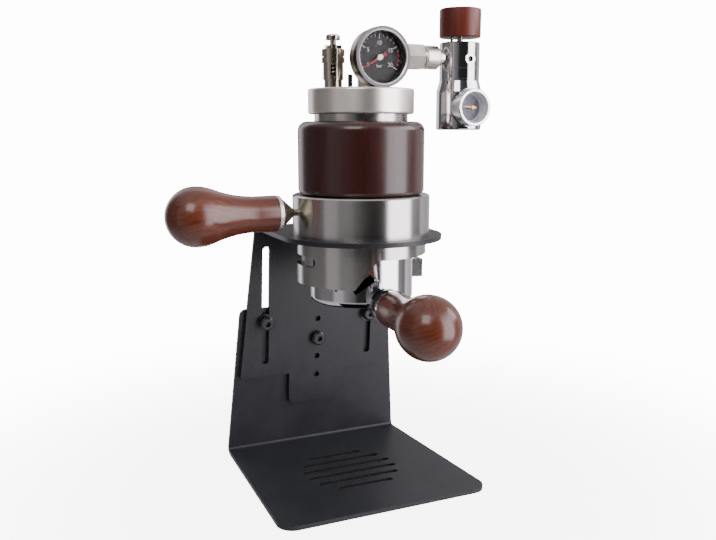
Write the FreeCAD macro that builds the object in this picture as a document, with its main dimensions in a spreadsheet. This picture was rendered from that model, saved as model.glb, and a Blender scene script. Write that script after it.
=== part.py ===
import FreeCAD, Part
import math
import os
import re
import Sketcher

# Handheld manual espresso maker on a folded steel stand, driven by a gas regulator.
# Z is the brewing axis, Z = 0 the surface that the stand rests on, -Y the side of the
# portafilter handle, +X the side of the gas regulator. Lengths in mm, angles in degrees.

SIZES = [
    # Stand
    ("sheet", 3.0, "thickness of the folded steel sheet"),
    ("lean", 5.0, "forward lean of the back plate"),
    ("fold_y", 90.0, "where the back plate's front face meets the resting surface"),
    ("base_front", 47.4, "brewing axis to the base's front edge"),
    ("base_front_half", 75.0, "half width of the base at its front edge"),
    ("base_fold_half", 68.7, "half width of the base at the fold"),
    ("base_corner", 11.0, "corner radius of the base"),
    ("bend_inner", 2.0, "inner radius of a fold"),
    ("plate_top", 112.7, "height of the back plate, measured along it"),
    ("plate_top_half", 60.1, "half width of the back plate at its top"),
    ("plate_corner", 5.0, "corner radius at the back plate's top"),
    ("drip_pitch", 11.0, "distance between drip slots"),
    ("drip_width", 4.0, "width of a drip slot"),
    ("drip_field", 34.5, "radius of the round field of drip slots"),
    ("drip_y", 19.5, "centre of the field of drip slots"),
    ("slide_gap", 0.1, "play between the back plate and the sliding plate"),
    ("slider_top_half", 50.3, "half width of the sliding plate at the ring"),
    ("slider_foot", 59.7, "lower edge of the sliding plate, along the plate"),
    ("slider_foot_half", 60.9, "half width of the sliding plate at its lower edge"),
    ("slider_corner", 3.0, "corner radius of the sliding plate's lower edge"),
    ("tongue_half", 22.3, "half width of the tongue"),
    ("tongue_end", 35.5, "lower end of the tongue, along the plate"),
    ("tongue_corner", 5.0, "corner radius of the tongue"),
    ("ring_top", 175.6, "height of the ring's top face"),
    ("ring_r", 53.0, "outer radius of the ring"),
    ("ring_play", 0.4, "radial play of the collar in the ring"),
    ("track_half", 41.7, "brewing axis to a slot of the sliding plate, sideways"),
    ("track_low", 70.0, "lower end of a slot, along the plate"),
    ("track_margin", 16.3, "ring's top face to the upper end of a slot, along the plate"),
    ("track_play", 0.2, "play of a screw in its slot, each side"),
    ("clamp_at", 102.8, "height of the side screws, along the plate"),
    ("index_r", 2.2, "radius of an indexing hole"),
    ("index_low", 56.8, "lowest indexing hole, along the plate"),
    ("index_pitch", 15.0, "distance between indexing holes"),
    ("lock_at", 86.8, "height of the jam screw, along the plate"),
    ("screw_r", 2.5, "radius of the stand's screws"),
    ("screw_fit", 0.05, "radial clearance of a screw in its own thread"),
    ("head_r", 5.3, "radius of a screw head"),
    ("head_rise", 4.5, "height of a screw head"),
    ("head_crown", 1.2, "rounding of a screw head"),
    ("socket_across", 4.0, "hexagon socket across flats"),
    ("socket_deep", 2.5, "depth of the hexagon socket"),
    ("washer_r", 6.6, "radius of a washer"),
    ("washer_thick", 1.0, "thickness of a washer"),
    ("nut_across", 8.0, "nut across flats"),
    ("nut_thick", 4.0, "thickness of a nut"),
    ("screw_past_nut", 1.0, "length of screw past its nut"),
    # Group body with the bayonet collar
    ("collar_r", 42.7, "outer radius of the bayonet collar"),
    ("collar_in", 36.0, "inner radius of the bayonet collar"),
    ("collar_low", 144.8, "lower edge of the bayonet collar"),
    ("flange_r", 45.0, "radius of the group body above the ring"),
    ("body_top", 201.4, "top of the group body"),
    ("body_edge", 0.8, "chamfer of the group body's rims"),
    ("web_low", 173.0, "ceiling above the group gasket"),
    ("web_top", 184.0, "floor under the water"),
    ("boss_r", 29.0, "radius of the boss that carries the shower screen"),
    ("boss_drop", 1.5, "how far that boss stands below the ceiling"),
    ("plenum_r", 33.0, "radius of the space above the water holes"),
    ("seat_z", 195.0, "height of the water vessel's seat"),
    ("water_hole_r", 2.0, "radius of a water hole"),
    ("water_hole_ring", 16.0, "radius of the circle of water holes"),
    ("water_holes", 8, "number of water holes"),
    ("slot_low", 157.0, "lower face of a bayonet slot"),
    ("slot_high", 163.5, "upper face of a bayonet slot"),
    ("slot_end", -161.5, "azimuth of the rounded closed end of a bayonet slot"),
    ("slot_span", 62.5, "angle that a bayonet slot runs through"),
    ("entry_span", 19.0, "angle of the opening where an ear enters"),
    ("window_top", 163.3, "top of the collar's front window"),
    ("window_ramp_foot", -119.6, "azimuth where the ramp of the window starts"),
    ("window_ramp_head", -100.5, "azimuth where the ramp reaches the window's top"),
    ("window_end", -12.0, "azimuth of the window's far side"),
    # Water vessel, sleeve and screen
    ("vessel_r", 37.0, "outer radius of the water vessel"),
    ("vessel_wall", 3.5, "wall of the water vessel"),
    ("vessel_fit", 0.15, "radial clearance around the water vessel"),
    ("vessel_shoulder", 244.0, "height of the vessel's shoulder"),
    ("neck_r", 30.15, "outer radius of the vessel's neck"),
    ("neck_in", 25.5, "inner radius of the vessel's neck"),
    ("neck_top", 262.5, "top of the vessel's neck"),
    ("vessel_seal_thick", 1.2, "thickness of the vessel's seal"),
    ("wood_r", 41.1, "outer radius of the wood sleeve"),
    ("wood_top", 248.2, "top of the wood sleeve"),
    ("wood_round", 6.0, "rounding of the sleeve's shoulder"),
    ("wood_edge", 3.6, "rounding of the sleeve's lower edge"),
    ("wood_fit", 0.3, "clearance between sleeve and vessel neck or shoulder"),
    ("gasket_thick", 6.3, "thickness of the group gasket"),
    ("gasket_fit", 0.3, "radial clearance of the group gasket"),
    ("screen_r", 28.6, "radius of the shower screen"),
    ("screen_thick", 1.1, "thickness of the shower screen"),
    ("screen_gap", 0.1, "gap above the shower screen"),
    ("screen_screw_r", 2.4, "radius of the screen's screw"),
    ("screen_head_r", 5.0, "radius of the screen screw's head"),
    ("screen_head_rise", 1.8, "height of the screen screw's head"),
    ("screen_screw_long", 9.0, "length of the screen screw's shank"),
    # Turned handles
    ("grip_long", 69.5, "length of a wood grip"),
    ("grip_ball_r", 18.55, "radius of a grip's ball end"),
    ("grip_shoulder_r", 30.0, "radius of the curve that leads into the ball"),
    ("grip_neck_r", 11.3, "radius of the slim part of a grip"),
    ("grip_neck_at", 13.0, "where a grip is slimmest, from its metal end"),
    ("grip_end_r", 11.45, "radius of a grip at its metal end"),
    ("stud_r", 3.0, "radius of the stud in a grip"),
    ("stud_fit", 0.05, "radial clearance of a stud"),
    ("stud_reach", 28.0, "how far the stud goes into a grip"),
    ("stud_spare", 0.5, "space past the end of a stud"),
    ("side_z", 191.0, "height of the side handle"),
    ("side_start", 59.1, "brewing axis to the side grip"),
    ("cone_rim_r", 11.2, "radius of the side cone's rim"),
    ("cone_rim_long", 2.2, "length of the side cone's rim"),
    ("cone_tip_r", 2.1, "radius of the side cone's slim end"),
    ("cone_tip_at", 47.0, "brewing axis to the side cone's slim end"),
    ("cone_root", 38.6, "brewing axis to the inner end of the side cone's thread"),
    ("cone_socket", 5.5, "depth of the stud's hole in the side cone"),
    # Portafilter
    ("handle_turn", -4.6, "azimuth of the portafilter handle, from straight ahead"),
    ("cup_r", 34.2, "outer radius of the portafilter"),
    ("cup_in", 30.7, "inner radius of the portafilter"),
    ("cup_top", 165.2, "rim of the portafilter"),
    ("cup_low", 131.0, "lower edge of the portafilter"),
    ("cup_round", 4.5, "rounding of the portafilter's lower edge"),
    ("cup_lip_in", 27.5, "radius of the opening under the basket"),
    ("cup_lip_thick", 3.0, "thickness of the lip round that opening"),
    ("ear_r", 41.0, "reach of a bayonet ear"),
    ("ear_half", 7.0, "half the angle of a bayonet ear"),
    ("ear_at", -169.0, "azimuth of the first bayonet ear when locked"),
    ("ear_play", 0.25, "play of an ear above and below in its slot"),
    ("portafilter_z", 135.7, "height of the portafilter handle"),
    ("neck_root", 31.5, "brewing axis to the root of the handle's neck"),
    ("neck_slim_r", 8.6, "radius of the neck under the collar"),
    ("neck_flare_at", 43.3, "where the neck starts to widen"),
    ("neck_ring_at", 45.5, "where the neck reaches its full radius"),
    ("neck_ring_r", 11.0, "radius of the neck's ring"),
    ("neck_waist_at", 49.0, "where the neck's ring ends"),
    ("neck_waist_r", 10.0, "radius of the neck behind its ring"),
    ("neck_end", 55.7, "outer end of the neck"),
    ("neck_socket", 10.0, "depth of the stud's hole in the neck"),
    ("ferrule_long", 2.2, "length of the portafilter's ferrule"),
    ("ferrule_r", 11.3, "radius of the portafilter's ferrule"),
    ("relief_at", -112.4, "azimuth of the slanted recess beside the neck"),
    ("relief_z", 146.8, "height of the slanted recess"),
    ("relief_long", 15.0, "length of the slanted recess"),
    ("relief_wide", 5.2, "width of the slanted recess"),
    ("relief_slope", 35.0, "slope of the slanted recess"),
    ("relief_deep", 1.6, "depth of the slanted recess"),
    ("clip_z", 158.0, "height of the basket's wire clip"),
    ("clip_wire", 0.5, "radius of the clip's wire"),
    ("clip_fit", 0.1, "clearance of the clip in its groove"),
    ("clip_gap", 30.0, "angle that the open wire clip leaves free"),
    ("dimple_at", -142.0, "azimuth of the small hole for the clip's end"),
    ("dimple_z", 142.5, "height of that hole"),
    ("dimple_r", 1.0, "radius of that hole"),
    ("basket_r", 30.2, "outer radius of the filter basket"),
    ("basket_foot_r", 28.6, "outer radius of the basket at its bottom"),
    ("basket_low", 141.0, "bottom of the filter basket"),
    ("basket_wall", 0.9, "wall of the filter basket"),
    ("basket_rim_r", 33.6, "radius of the basket's rim"),
    ("basket_rim_thick", 1.3, "thickness of the basket's rim"),
    ("basket_straight", 2.2, "straight part under the basket's rim"),
    # Lid and what stands on it
    ("lid_r", 34.2, "outer radius of the lid"),
    ("lid_low", 252.75, "lower edge of the lid"),
    ("lid_top", 268.75, "top face of the lid"),
    ("lid_ceiling", 264.0, "ceiling inside the lid"),
    ("lid_fit", 0.4, "radial clearance of the lid round the neck"),
    ("lid_round", 1.5, "rounding of the lid's edges"),
    ("seal_in", 26.0, "inner radius of the lid's seal"),
    ("seal_r", 29.9, "outer radius of the lid's seal"),
    ("thread_fit", 0.1, "radial clearance of a screwed-in tail"),
    ("pin_x", -11.0, "place of the lid's pin, sideways"),
    ("pin_y", -7.5, "place of the lid's pin, front to back"),
    ("pin_r", 1.5, "radius of the lid's pin"),
    ("pin_top", 277.2, "top of the lid's pin"),
    ("post_x", 5.6, "place of the gas post, sideways"),
    ("post_r", 7.5, "radius of the gas post"),
    ("post_top", 298.0, "top of the gas post"),
    ("post_round", 2.0, "rounding of the gas post's top"),
    ("post_tail_r", 5.0, "radius of the gas post's tail in the lid"),
    ("post_bore_r", 2.5, "radius of the gas post's bore"),
    ("post_bore_top", 293.0, "upper end of the gas post's bore"),
    ("port_start", 3.2, "post axis to the inner end of a side port"),
    # Relief valve
    ("valve_x", -19.4, "place of the relief valve, sideways"),
    ("valve_tail_r", 4.0, "radius of the relief valve's tail in the lid"),
    ("valve_base_r", 5.7, "radius of the relief valve's foot"),
    ("valve_base_top", 273.9, "top of the relief valve's foot"),
    ("valve_r", 6.45, "radius of the relief valve's body"),
    ("valve_body_top", 284.4, "top of the relief valve's body"),
    ("valve_bore_r", 4.4, "radius of the space for the valve's spring"),
    ("valve_window_at", -112.0, "azimuth of the window on the valve's spring"),
    ("valve_window_half", 1.55, "half width of that window"),
    ("valve_window_low", 274.8, "lower end of that window"),
    ("valve_window_high", 283.6, "upper end of that window"),
    ("valve_seat_z", 274.5, "height of the valve's seat"),
    ("valve_orifice_r", 1.5, "radius of the valve's orifice"),
    ("cap_r", 7.3, "radius of the valve's cap nut"),
    ("cap_groove_z", 288.1, "height of the groove in the cap nut"),
    ("cap_groove_half", 0.4, "half width of that groove"),
    ("cap_groove_deep", 0.8, "depth of that groove"),
    ("cap_top", 292.7, "top of the cap nut's wide part"),
    ("cap_vent_at", -115.0, "azimuth of the vent in the cap nut"),
    ("cap_vent_z", 286.2, "height of that vent"),
    ("cap_vent_r", 1.1, "radius of that vent"),
    ("crown_r", 5.4, "radius of the cap nut's crown"),
    ("crown_top", 295.3, "top of the cap nut's crown"),
    ("crown_gaps", 4, "number of gaps between the crown's lugs"),
    ("crown_gap_at", -88.0, "azimuth where the first of these gaps starts"),
    ("crown_gap_span", 64.0, "angle of a gap"),
    ("stem_r", 2.0, "radius of the pull stem"),
    ("stem_fit", 0.05, "radial clearance of the pull stem"),
    ("disc_r", 4.2, "radius of the valve disc"),
    ("disc_thick", 2.0, "thickness of the valve disc"),
    ("pull_low", 298.4, "underside of the pull button"),
    ("pull_top", 301.8, "top of the pull button"),
    ("pull_r", 4.55, "radius of the pull button"),
    ("pull_round", 1.5, "rounding of the pull button"),
    ("valve_wire_r", 0.5, "wire radius of the valve's spring"),
    ("valve_coil_r", 3.2, "mean radius of the valve's spring"),
    ("valve_coil_pitch", 2.5, "pitch of the valve's spring"),
    # Main gauge
    ("gauge_z", 287.5, "height of the main gauge's axis"),
    ("gauge_back", 9.5, "brewing axis to the back of the main gauge"),
    ("gauge_deep", 10.8, "depth of the main gauge's case"),
    ("gauge_r", 18.0, "radius of the main gauge's case"),
    ("gauge_wall", 1.5, "wall of the main gauge's case"),
    ("gauge_stem_r", 4.0, "radius of the main gauge's stem"),
    ("port_spare", 0.3, "space past the end of the main gauge's stem"),
    ("gauge_hex_across", 11.0, "hexagon of the main gauge's stem across flats"),
    ("gauge_hex_long", 1.6, "length of that hexagon"),
    ("bezel_r", 18.65, "radius of the main gauge's bezel"),
    ("bezel_long", 4.2, "length of the bezel"),
    ("bezel_lip", 1.2, "thickness of the bezel's lip"),
    ("window_r", 16.0, "radius of the main gauge's window"),
    ("lens_thick", 1.2, "thickness of a gauge's lens"),
    ("dial_fit", 0.1, "radial clearance of a dial or lens"),
    ("dial_thick", 0.8, "thickness of a dial"),
    ("dial_at", 5.6, "back of the case to the main dial's front"),
    ("needle_gap", 0.8, "gap between a dial and its needle"),
    ("needle_thick", 0.5, "thickness of a needle"),
    ("needle_long", 13.0, "length of the main needle"),
    ("needle_tail", 5.0, "tail of the main needle"),
    ("needle_half", 0.8, "half width of the main needle at its hub"),
    ("needle_tip_half", 0.25, "half width of a needle at its tip"),
    ("needle_tail_half", 1.3, "half width of the main needle's tail"),
    ("hub_r", 1.8, "radius of the main needle's hub"),
    ("hub_thick", 0.9, "thickness of the main needle's hub"),
    ("spindle_r", 0.6, "radius of a needle's spindle"),
    ("spindle_fit", 0.1, "clearance of a spindle in its dial"),
    ("needle_rest", 210.0, "angle of the main needle at rest, from 3 o'clock"),
    ("tube_ring_r", 11.0, "radius that the bourdon tube is bent to"),
    ("tube_r", 1.2, "radius of the bourdon tube"),
    ("tube_off", 0.3, "gap between the bourdon tube and the case's back"),
    ("tube_start", -71.8, "angle where the bourdon tube leaves its socket"),
    ("tube_span", 250.0, "angle that the bourdon tube runs through"),
    ("socket_half", 3.0, "half width of the bourdon tube's socket"),
    ("socket_low", 13.0, "how far that socket reaches below the axis"),
    ("socket_thick", 3.6, "thickness of that socket"),
    # Gas inlet and quick coupler
    ("inlet_z", 290.0, "height of the gas inlet's axis"),
    ("adapter_tail_r", 4.0, "radius of the adapter's threaded ends"),
    ("adapter_in", 3.5, "how far the adapter's tail goes into the post"),
    ("adapter_hex_at", 13.4, "brewing axis to the adapter's hexagon"),
    ("adapter_hex_long", 5.6, "length of the adapter's hexagon"),
    ("adapter_hex_across", 14.0, "adapter across flats"),
    ("adapter_r", 5.2, "radius of the adapter's tube"),
    ("adapter_bore_r", 1.5, "bore of the gas inlet"),
    ("adapter_out", 5.5, "length of the adapter's end in the coupler"),
    ("coupler_at", 30.0, "brewing axis to the coupler"),
    ("coupler_hex_long", 13.0, "length of the coupler's hexagon"),
    ("coupler_hex_across", 15.6, "coupler across flats"),
    ("coupler_barrel_r", 5.6, "radius of the coupler's barrel"),
    ("coupler_end", 57.2, "brewing axis to the coupler's mouth"),
    ("coupler_bore_at", 45.0, "where the coupler's wide bore starts"),
    ("coupler_thread_spare", 0.5, "space past the adapter in the coupler"),
    ("sleeve_at", 45.2, "brewing axis to the sliding sleeve"),
    ("sleeve_end", 55.8, "outer end of the sliding sleeve"),
    ("sleeve_r", 7.7, "radius of the sliding sleeve"),
    ("sleeve_fit", 0.08, "radial clearance of the sliding sleeve"),
    ("sleeve_edge", 0.6, "chamfer at the sleeve's inner end"),
    ("sleeve_nose", 1.4, "chamfer at the sleeve's outer end"),
    ("plug_tip", 46.0, "brewing axis to the quick plug's tip"),
    ("plug_r", 3.3, "radius of the quick plug"),
    ("plug_fit", 0.08, "radial clearance of the quick plug"),
    ("plug_chamfer", 0.8, "chamfer of the quick plug's tip"),
    ("plug_bore_r", 1.2, "bore of the quick plug"),
    ("plug_groove_at", 50.0, "start of the quick plug's ball groove"),
    ("plug_groove_long", 2.4, "length of the ball groove"),
    ("plug_groove_deep", 0.6, "depth of the ball groove"),
    ("plug_flange_at", 57.5, "brewing axis to the quick plug's flange"),
    ("plug_flange_end", 59.5, "outer end of the quick plug's flange"),
    ("plug_flange_r", 4.4, "radius of the quick plug's flange"),
    ("plug_tail_r", 3.5, "radius of the quick plug's tail in the regulator"),
    ("plug_tail_long", 4.6, "length of that tail"),
    # Regulator
    ("reg_x", 73.1, "brewing axis to the regulator's axis"),
    ("reg_r", 13.4, "radius of the regulator's body"),
    ("reg_top", 300.3, "top of the regulator's body"),
    ("reg_edge", 0.6, "chamfer of the regulator's rims"),
    ("flare_top", 275.0, "where the body starts to widen"),
    ("flare_low", 268.0, "where the body reaches its full radius"),
    ("skirt_r", 15.2, "radius of the cartridge holder"),
    ("seam_z", 266.6, "height of the seam above the cartridge holder"),
    ("seam_gap", 0.2, "gap at that seam"),
    ("line_one", 283.2, "height of the upper turned line"),
    ("line_two", 276.2, "height of the lower turned line"),
    ("line_deep", 0.3, "depth of a turned line"),
    ("line_half", 0.25, "half width of a turned line"),
    ("spigot_r", 8.5, "radius of the regulator's lower thread"),
    ("spigot_low", 252.0, "lower end of that thread"),
    ("gas_bore_r", 1.5, "radius of the regulator's gas bore"),
    ("spring_low", 272.0, "floor of the spring chamber"),
    ("spring_high", 295.5, "ceiling of the spring chamber"),
    ("spring_room_r", 7.2, "radius of the spring chamber"),
    ("knob_groove_r", 5.5, "radius of the stop pin's groove"),
    ("knob_groove_half", 1.35, "half width of that groove"),
    ("knob_groove_deep", 2.1, "depth of that groove"),
    ("knob_land", 30.0, "angle of the land between the groove's ends"),
    ("knob_pin_at", 155.5, "azimuth of the stop pin at rest"),
    ("knob_pin_margin", 15.0, "angle from the stop pin to the groove's end"),
    ("holder_low", 242.6, "lower face of the cartridge holder"),
    ("holder_edge", 1.0, "chamfer of the holder's lower rim"),
    ("cartridge_r", 4.3, "radius of the cartridge's threaded hole"),
    ("seal_thick", 1.8, "thickness of the cartridge seal"),
    ("seal_disc_r", 5.5, "radius of the cartridge seal"),
    ("seal_hole_r", 2.0, "hole of the cartridge seal"),
    ("piercer_top", 262.0, "upper end of the piercing pin"),
    ("piercer_tip", 250.6, "tip of the piercing pin"),
    ("piercer_cone", 3.0, "length of the piercing pin's point"),
    ("piercer_tip_r", 0.3, "radius of the piercing pin's tip"),
    ("piercer_fit", 0.05, "radial clearance of the piercing pin"),
    ("piston_thick", 2.4, "thickness of the piston"),
    ("piston_fit", 0.1, "radial clearance of the piston"),
    ("piston_stem_r", 1.4, "radius of the piston's stem"),
    ("piston_stem_low", 262.3, "lower end of the piston's stem"),
    ("button_thick", 2.5, "thickness of the spring button"),
    ("button_play", 0.5, "space above the spring button"),
    ("reg_wire_r", 0.8, "wire radius of the regulator's spring"),
    ("reg_coil_r", 5.2, "mean radius of the regulator's spring"),
    ("reg_coil_pitch", 2.9, "pitch of the regulator's spring"),
    ("shaft_r", 2.0, "radius of the knob's spindle"),
    ("shaft_fit", 0.06, "radial clearance of the knob's spindle"),
    ("shaft_top", 312.0, "upper end of the knob's spindle"),
    ("stop_pin_r", 1.0, "radius of the stop pin"),
    ("stop_pin_low", 299.4, "lower end of the stop pin"),
    ("stop_pin_top", 306.0, "upper end of the stop pin"),
    ("knob_r", 13.9, "radius of the knob"),
    ("knob_low", 303.5, "underside of the knob"),
    ("knob_top", 322.3, "top of the knob"),
    ("knob_round", 1.2, "rounding of the knob's edges"),
    ("knob_fit", 0.03, "radial clearance in the knob's own holes"),
    ("plug_port_z", 289.0, "height of the port plug"),
    ("plug_port_r", 2.5, "radius of the port plug's thread"),
    ("plug_port_head_r", 3.6, "radius of the port plug's head"),
    ("plug_port_face", 12.4, "regulator axis to the spot face"),
    ("plug_port_out", 1.6, "thickness of the port plug's head"),
    ("plug_port_in", 3.6, "length of the port plug's thread"),
    ("plug_port_socket_r", 1.6, "radius of the port plug's socket"),
    ("plug_port_socket_deep", 1.2, "depth of that socket"),
    # Small gauge
    ("mini_z", 257.4, "height of the small gauge's axis"),
    ("mini_turn", 0.0, "azimuth of the small gauge, from straight ahead"),
    ("mini_back", 10.2, "regulator axis to the back of the small gauge"),
    ("mini_deep", 10.8, "depth of the small gauge"),
    ("mini_r", 12.2, "radius of the small gauge"),
    ("mini_wall", 1.3, "wall of the small gauge"),
    ("mini_lip", 0.6, "how far the small gauge's rim reaches over its lens"),
    ("mini_stem_r", 2.4, "radius of the small gauge's stem"),
    ("mini_stem_long", 5.2, "length of the small gauge's stem"),
    ("mini_dial_at", 2.5, "back of the small gauge to its dial's front"),
    ("mini_pocket_fit", 0.4, "clearance round the small gauge in its recess"),
    ("mini_pocket_gap", 0.2, "gap behind the small gauge"),
    ("mini_needle_gap", 5.0, "gap between the small gauge's dial and its raised needle"),
    ("mini_needle_long", 7.6, "length of the small needle"),
    ("mini_needle_tail", 2.6, "tail of the small needle"),
    ("mini_needle_half", 0.55, "half width of the small needle"),
    ("mini_hub_r", 1.2, "radius of the small needle's hub"),
    ("mini_needle_rest", 175.0, "angle of the small needle at rest, from 3 o'clock"),
]

DRIP_SLOTS = 6
INDEX_HOLES = (0, 1, 3)
FUNCTIONS = {"sin", "cos", "tan", "sqrt"}
HIDDEN_DEPTH = 0.01
REACH = 60.0

doc = FreeCAD.newDocument("espresso_maker")
sheet = doc.addObject("Spreadsheet::Sheet", "dim")
nodes = []


def fill_sheet():
    """Writes each driving dimension to the sheet: its meaning, its value and its alias."""
    for row, (alias, number, meaning) in enumerate(SIZES, start=1):
        sheet.set(f"A{row}", meaning)
        sheet.set(f"B{row}", str(number))
        sheet.setAlias(f"B{row}", alias)
    doc.recompute()


def formula(text):
    """Turns a rule written with the sheet's aliases into an expression of the document."""
    return re.sub(r"[a-z]\w*", lambda word: word[0] if word[0] in FUNCTIONS else "dim." + word[0], text)


def size(text):
    """The present value of a rule."""
    return float(sheet.evalExpression(formula(text)))


# ---------------------------------------------------------------- sketches

def new_body(name):
    body = doc.addObject("PartDesign::Body", name)
    body.Label = name
    return body


def origin_feature(body, role):
    return next(item for item in body.Origin.OriginFeatures if item.Role == role)


def new_sketch(body, plane, name="Sketch"):
    sketch = body.newObject("Sketcher::SketchObject", name)
    sketch.AttachmentSupport = (origin_feature(body, plane), "")
    sketch.MapMode = "FlatFace"
    return sketch


def shift(sketch, x="0", y="0", z="0"):
    """Moves a sketch in its own plane's directions: right, up and out."""
    for axis, rule in (("x", x), ("y", y), ("z", z)):
        if rule != "0":
            sketch.setExpression(f".AttachmentOffset.Base.{axis}", formula(rule))


def radial_sketch(body, azimuth, distance="0", name="Sketch"):
    """A sketch that faces outwards at an azimuth, with its origin at a distance from Z."""
    sketch = new_sketch(body, "XZ_Plane", name)
    turn = FreeCAD.Rotation(FreeCAD.Vector(0, 1, 0), 1)
    sketch.AttachmentOffset = FreeCAD.Placement(FreeCAD.Vector(), turn)
    sketch.setExpression(".AttachmentOffset.Rotation.Angle", formula(f"{azimuth} + 90"))
    shift(sketch, x=f"({distance}) * cos({azimuth})", z=f"-({distance}) * sin({azimuth})")
    return sketch


def meridian_sketch(body, azimuth, name="Sketch"):
    """A sketch in the half plane at an azimuth: its x is the radius and its y the height."""
    sketch = new_sketch(body, "XZ_Plane", name)
    turn = FreeCAD.Rotation(FreeCAD.Vector(0, 1, 0), 1)
    sketch.AttachmentOffset = FreeCAD.Placement(FreeCAD.Vector(), turn)
    sketch.setExpression(".AttachmentOffset.Rotation.Angle", formula(azimuth))
    return sketch


def bind(sketch, kind, items, rule):
    """Adds a constraint whose value follows a rule."""
    index = sketch.addConstraint(Sketcher.Constraint(kind, *items, size(rule)))
    sketch.setExpression(f"Constraints[{index}]", formula(rule))


def pin(sketch, geometry, end, x, y):
    """Holds a point at two rules; a zero puts it on the axis itself."""
    if x == "0":
        sketch.addConstraint(Sketcher.Constraint("PointOnObject", geometry, end, -2))
    else:
        bind(sketch, "DistanceX", (-1, 1, geometry, end), x)
    if y == "0":
        sketch.addConstraint(Sketcher.Constraint("PointOnObject", geometry, end, -1))
    else:
        bind(sketch, "DistanceY", (-1, 1, geometry, end), y)


def outline(sketch, corners):
    """A closed outline of straight lines through corners given as pairs of rules."""
    first = sketch.GeometryCount
    count = len(corners)
    places = [FreeCAD.Vector(size(x), size(y), 0) for x, y in corners]
    for index, place in enumerate(places):
        sketch.addGeometry(Part.LineSegment(place, places[(index + 1) % count]), False)
    for index, (x, y) in enumerate(corners):
        before = first + (index - 1) % count
        sketch.addConstraint(Sketcher.Constraint("Coincident", before, 2, first + index, 1))
        pin(sketch, first + index, 1, x, y)


def circle(sketch, x, y, radius):
    centre = FreeCAD.Vector(size(x), size(y), 0)
    index = sketch.addGeometry(Part.Circle(centre, FreeCAD.Vector(0, 0, 1), size(radius)), False)
    pin(sketch, index, 3, x, y)
    bind(sketch, "Radius", (index,), radius)


def slot(sketch, start, end, radius):
    """A slot with round ends between two centres that lie level or one above the other."""
    a = FreeCAD.Vector(size(start[0]), size(start[1]), 0)
    b = FreeCAD.Vector(size(end[0]), size(end[1]), 0)
    r = size(radius)
    along = (b - a).normalize()
    side = FreeCAD.Vector(-along.y, along.x, 0) * r
    heading = math.atan2(along.y, along.x)
    quarter = math.pi / 2
    up = FreeCAD.Vector(0, 0, 1)
    first = sketch.addGeometry(Part.ArcOfCircle(Part.Circle(a, up, r), heading + quarter,
                                                heading + 3 * quarter), False)
    low = sketch.addGeometry(Part.LineSegment(a - side, b - side), False)
    last = sketch.addGeometry(Part.ArcOfCircle(Part.Circle(b, up, r), heading - quarter,
                                               heading + quarter), False)
    high = sketch.addGeometry(Part.LineSegment(b + side, a + side), False)
    for items in ((first, 2, low, 1), (low, 2, last, 1), (last, 2, high, 1), (high, 2, first, 1)):
        sketch.addConstraint(Sketcher.Constraint("Tangent", *items))
    pin(sketch, first, 3, *start)
    pin(sketch, last, 3, *end)
    bind(sketch, "Radius", (first,), radius)
    sketch.addConstraint(Sketcher.Constraint("Equal", first, last))


def hexagon_corners(across):
    """Corners of a hexagon round the sketch's origin, given its size across flats."""
    reach = f"({across}) / (2 * cos(30))"
    return [(f"{reach} * cos({60 * k})", f"{reach} * sin({60 * k + 0.0001})") for k in range(6)]


# ---------------------------------------------------------------- features

def feature(body, kind, sketch, **settings):
    item = body.newObject("PartDesign::" + kind, kind)
    item.Profile = sketch
    for name, setting in settings.items():
        setattr(item, name, setting)
    sketch.Visibility = False
    return item


def pad(body, sketch, length, **settings):
    item = feature(body, "Pad", sketch, **settings)
    item.setExpression("Length", formula(length))
    return item


def cut(body, sketch, length=None, **settings):
    """A pocket: to a depth, or right through when no length is given."""
    item = feature(body, "Pocket", sketch, **settings)
    if length is None:
        item.Type = "ThroughAll"
    else:
        item.setExpression("Length", formula(length))
    return item


def spin(body, sketch, axis="V_Axis", angle=None, kind="Revolution"):
    item = feature(body, kind, sketch, ReferenceAxis=(sketch, [axis]), Angle=360.0)
    if angle is not None:
        item.setExpression("Angle", formula(angle))
    return item


def sector_cut(body, azimuth, angle, low, high, inner, outer):
    """Removes a ring sector: from an azimuth, anticlockwise through an angle."""
    sketch = meridian_sketch(body, azimuth)
    outline(sketch, [(inner, low), (outer, low), (outer, high), (inner, high)])
    return spin(body, sketch, angle=angle, kind="Groove")


def twins(body, originals):
    """Repeats features half a turn further round Z."""
    pattern = body.newObject("PartDesign::PolarPattern", "Twins")
    pattern.Originals = originals
    pattern.Axis = (origin_feature(body, "Z_Axis"), [""])
    pattern.Angle = 360.0
    pattern.Occurrences = 2
    body.Tip = pattern
    return pattern


def edge_names(shape, test):
    return [f"Edge{index}" for index, edge in enumerate(shape.Edges, start=1) if test(edge)]


def dress(body, kind, test, rule):
    """Rounds or bevels the edges that pass a test."""
    doc.recompute()
    base = body.Tip
    names = edge_names(base.Shape, test)
    item = body.newObject("PartDesign::" + kind, kind)
    item.Base = (base, names)
    item.setExpression("Radius" if kind == "Fillet" else "Size", formula(rule))
    return item


def is_ring(radius, height):
    """A test for a circular edge round an upright axis."""
    r = size(radius)
    z = size(height)

    def test(edge):
        curve = edge.Curve
        if not isinstance(curve, Part.Circle):
            return False
        upright = abs(abs(curve.Axis.z) - 1) < HIDDEN_DEPTH
        return upright and abs(curve.Radius - r) < HIDDEN_DEPTH and abs(curve.Center.z - z) < HIDDEN_DEPTH
    return test


def is_line(direction, *places):
    """A test for a straight edge that runs along a direction through one of some places."""
    heading = FreeCAD.Vector(*direction)

    def test(edge):
        if not isinstance(edge.Curve, Part.Line):
            return False
        if abs(abs(edge.Curve.Direction.dot(heading)) - 1) > HIDDEN_DEPTH:
            return False
        middle = edge.CenterOfMass
        return any((middle - place).cross(heading).Length < HIDDEN_DEPTH * 10 for place in places)
    return test


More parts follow.
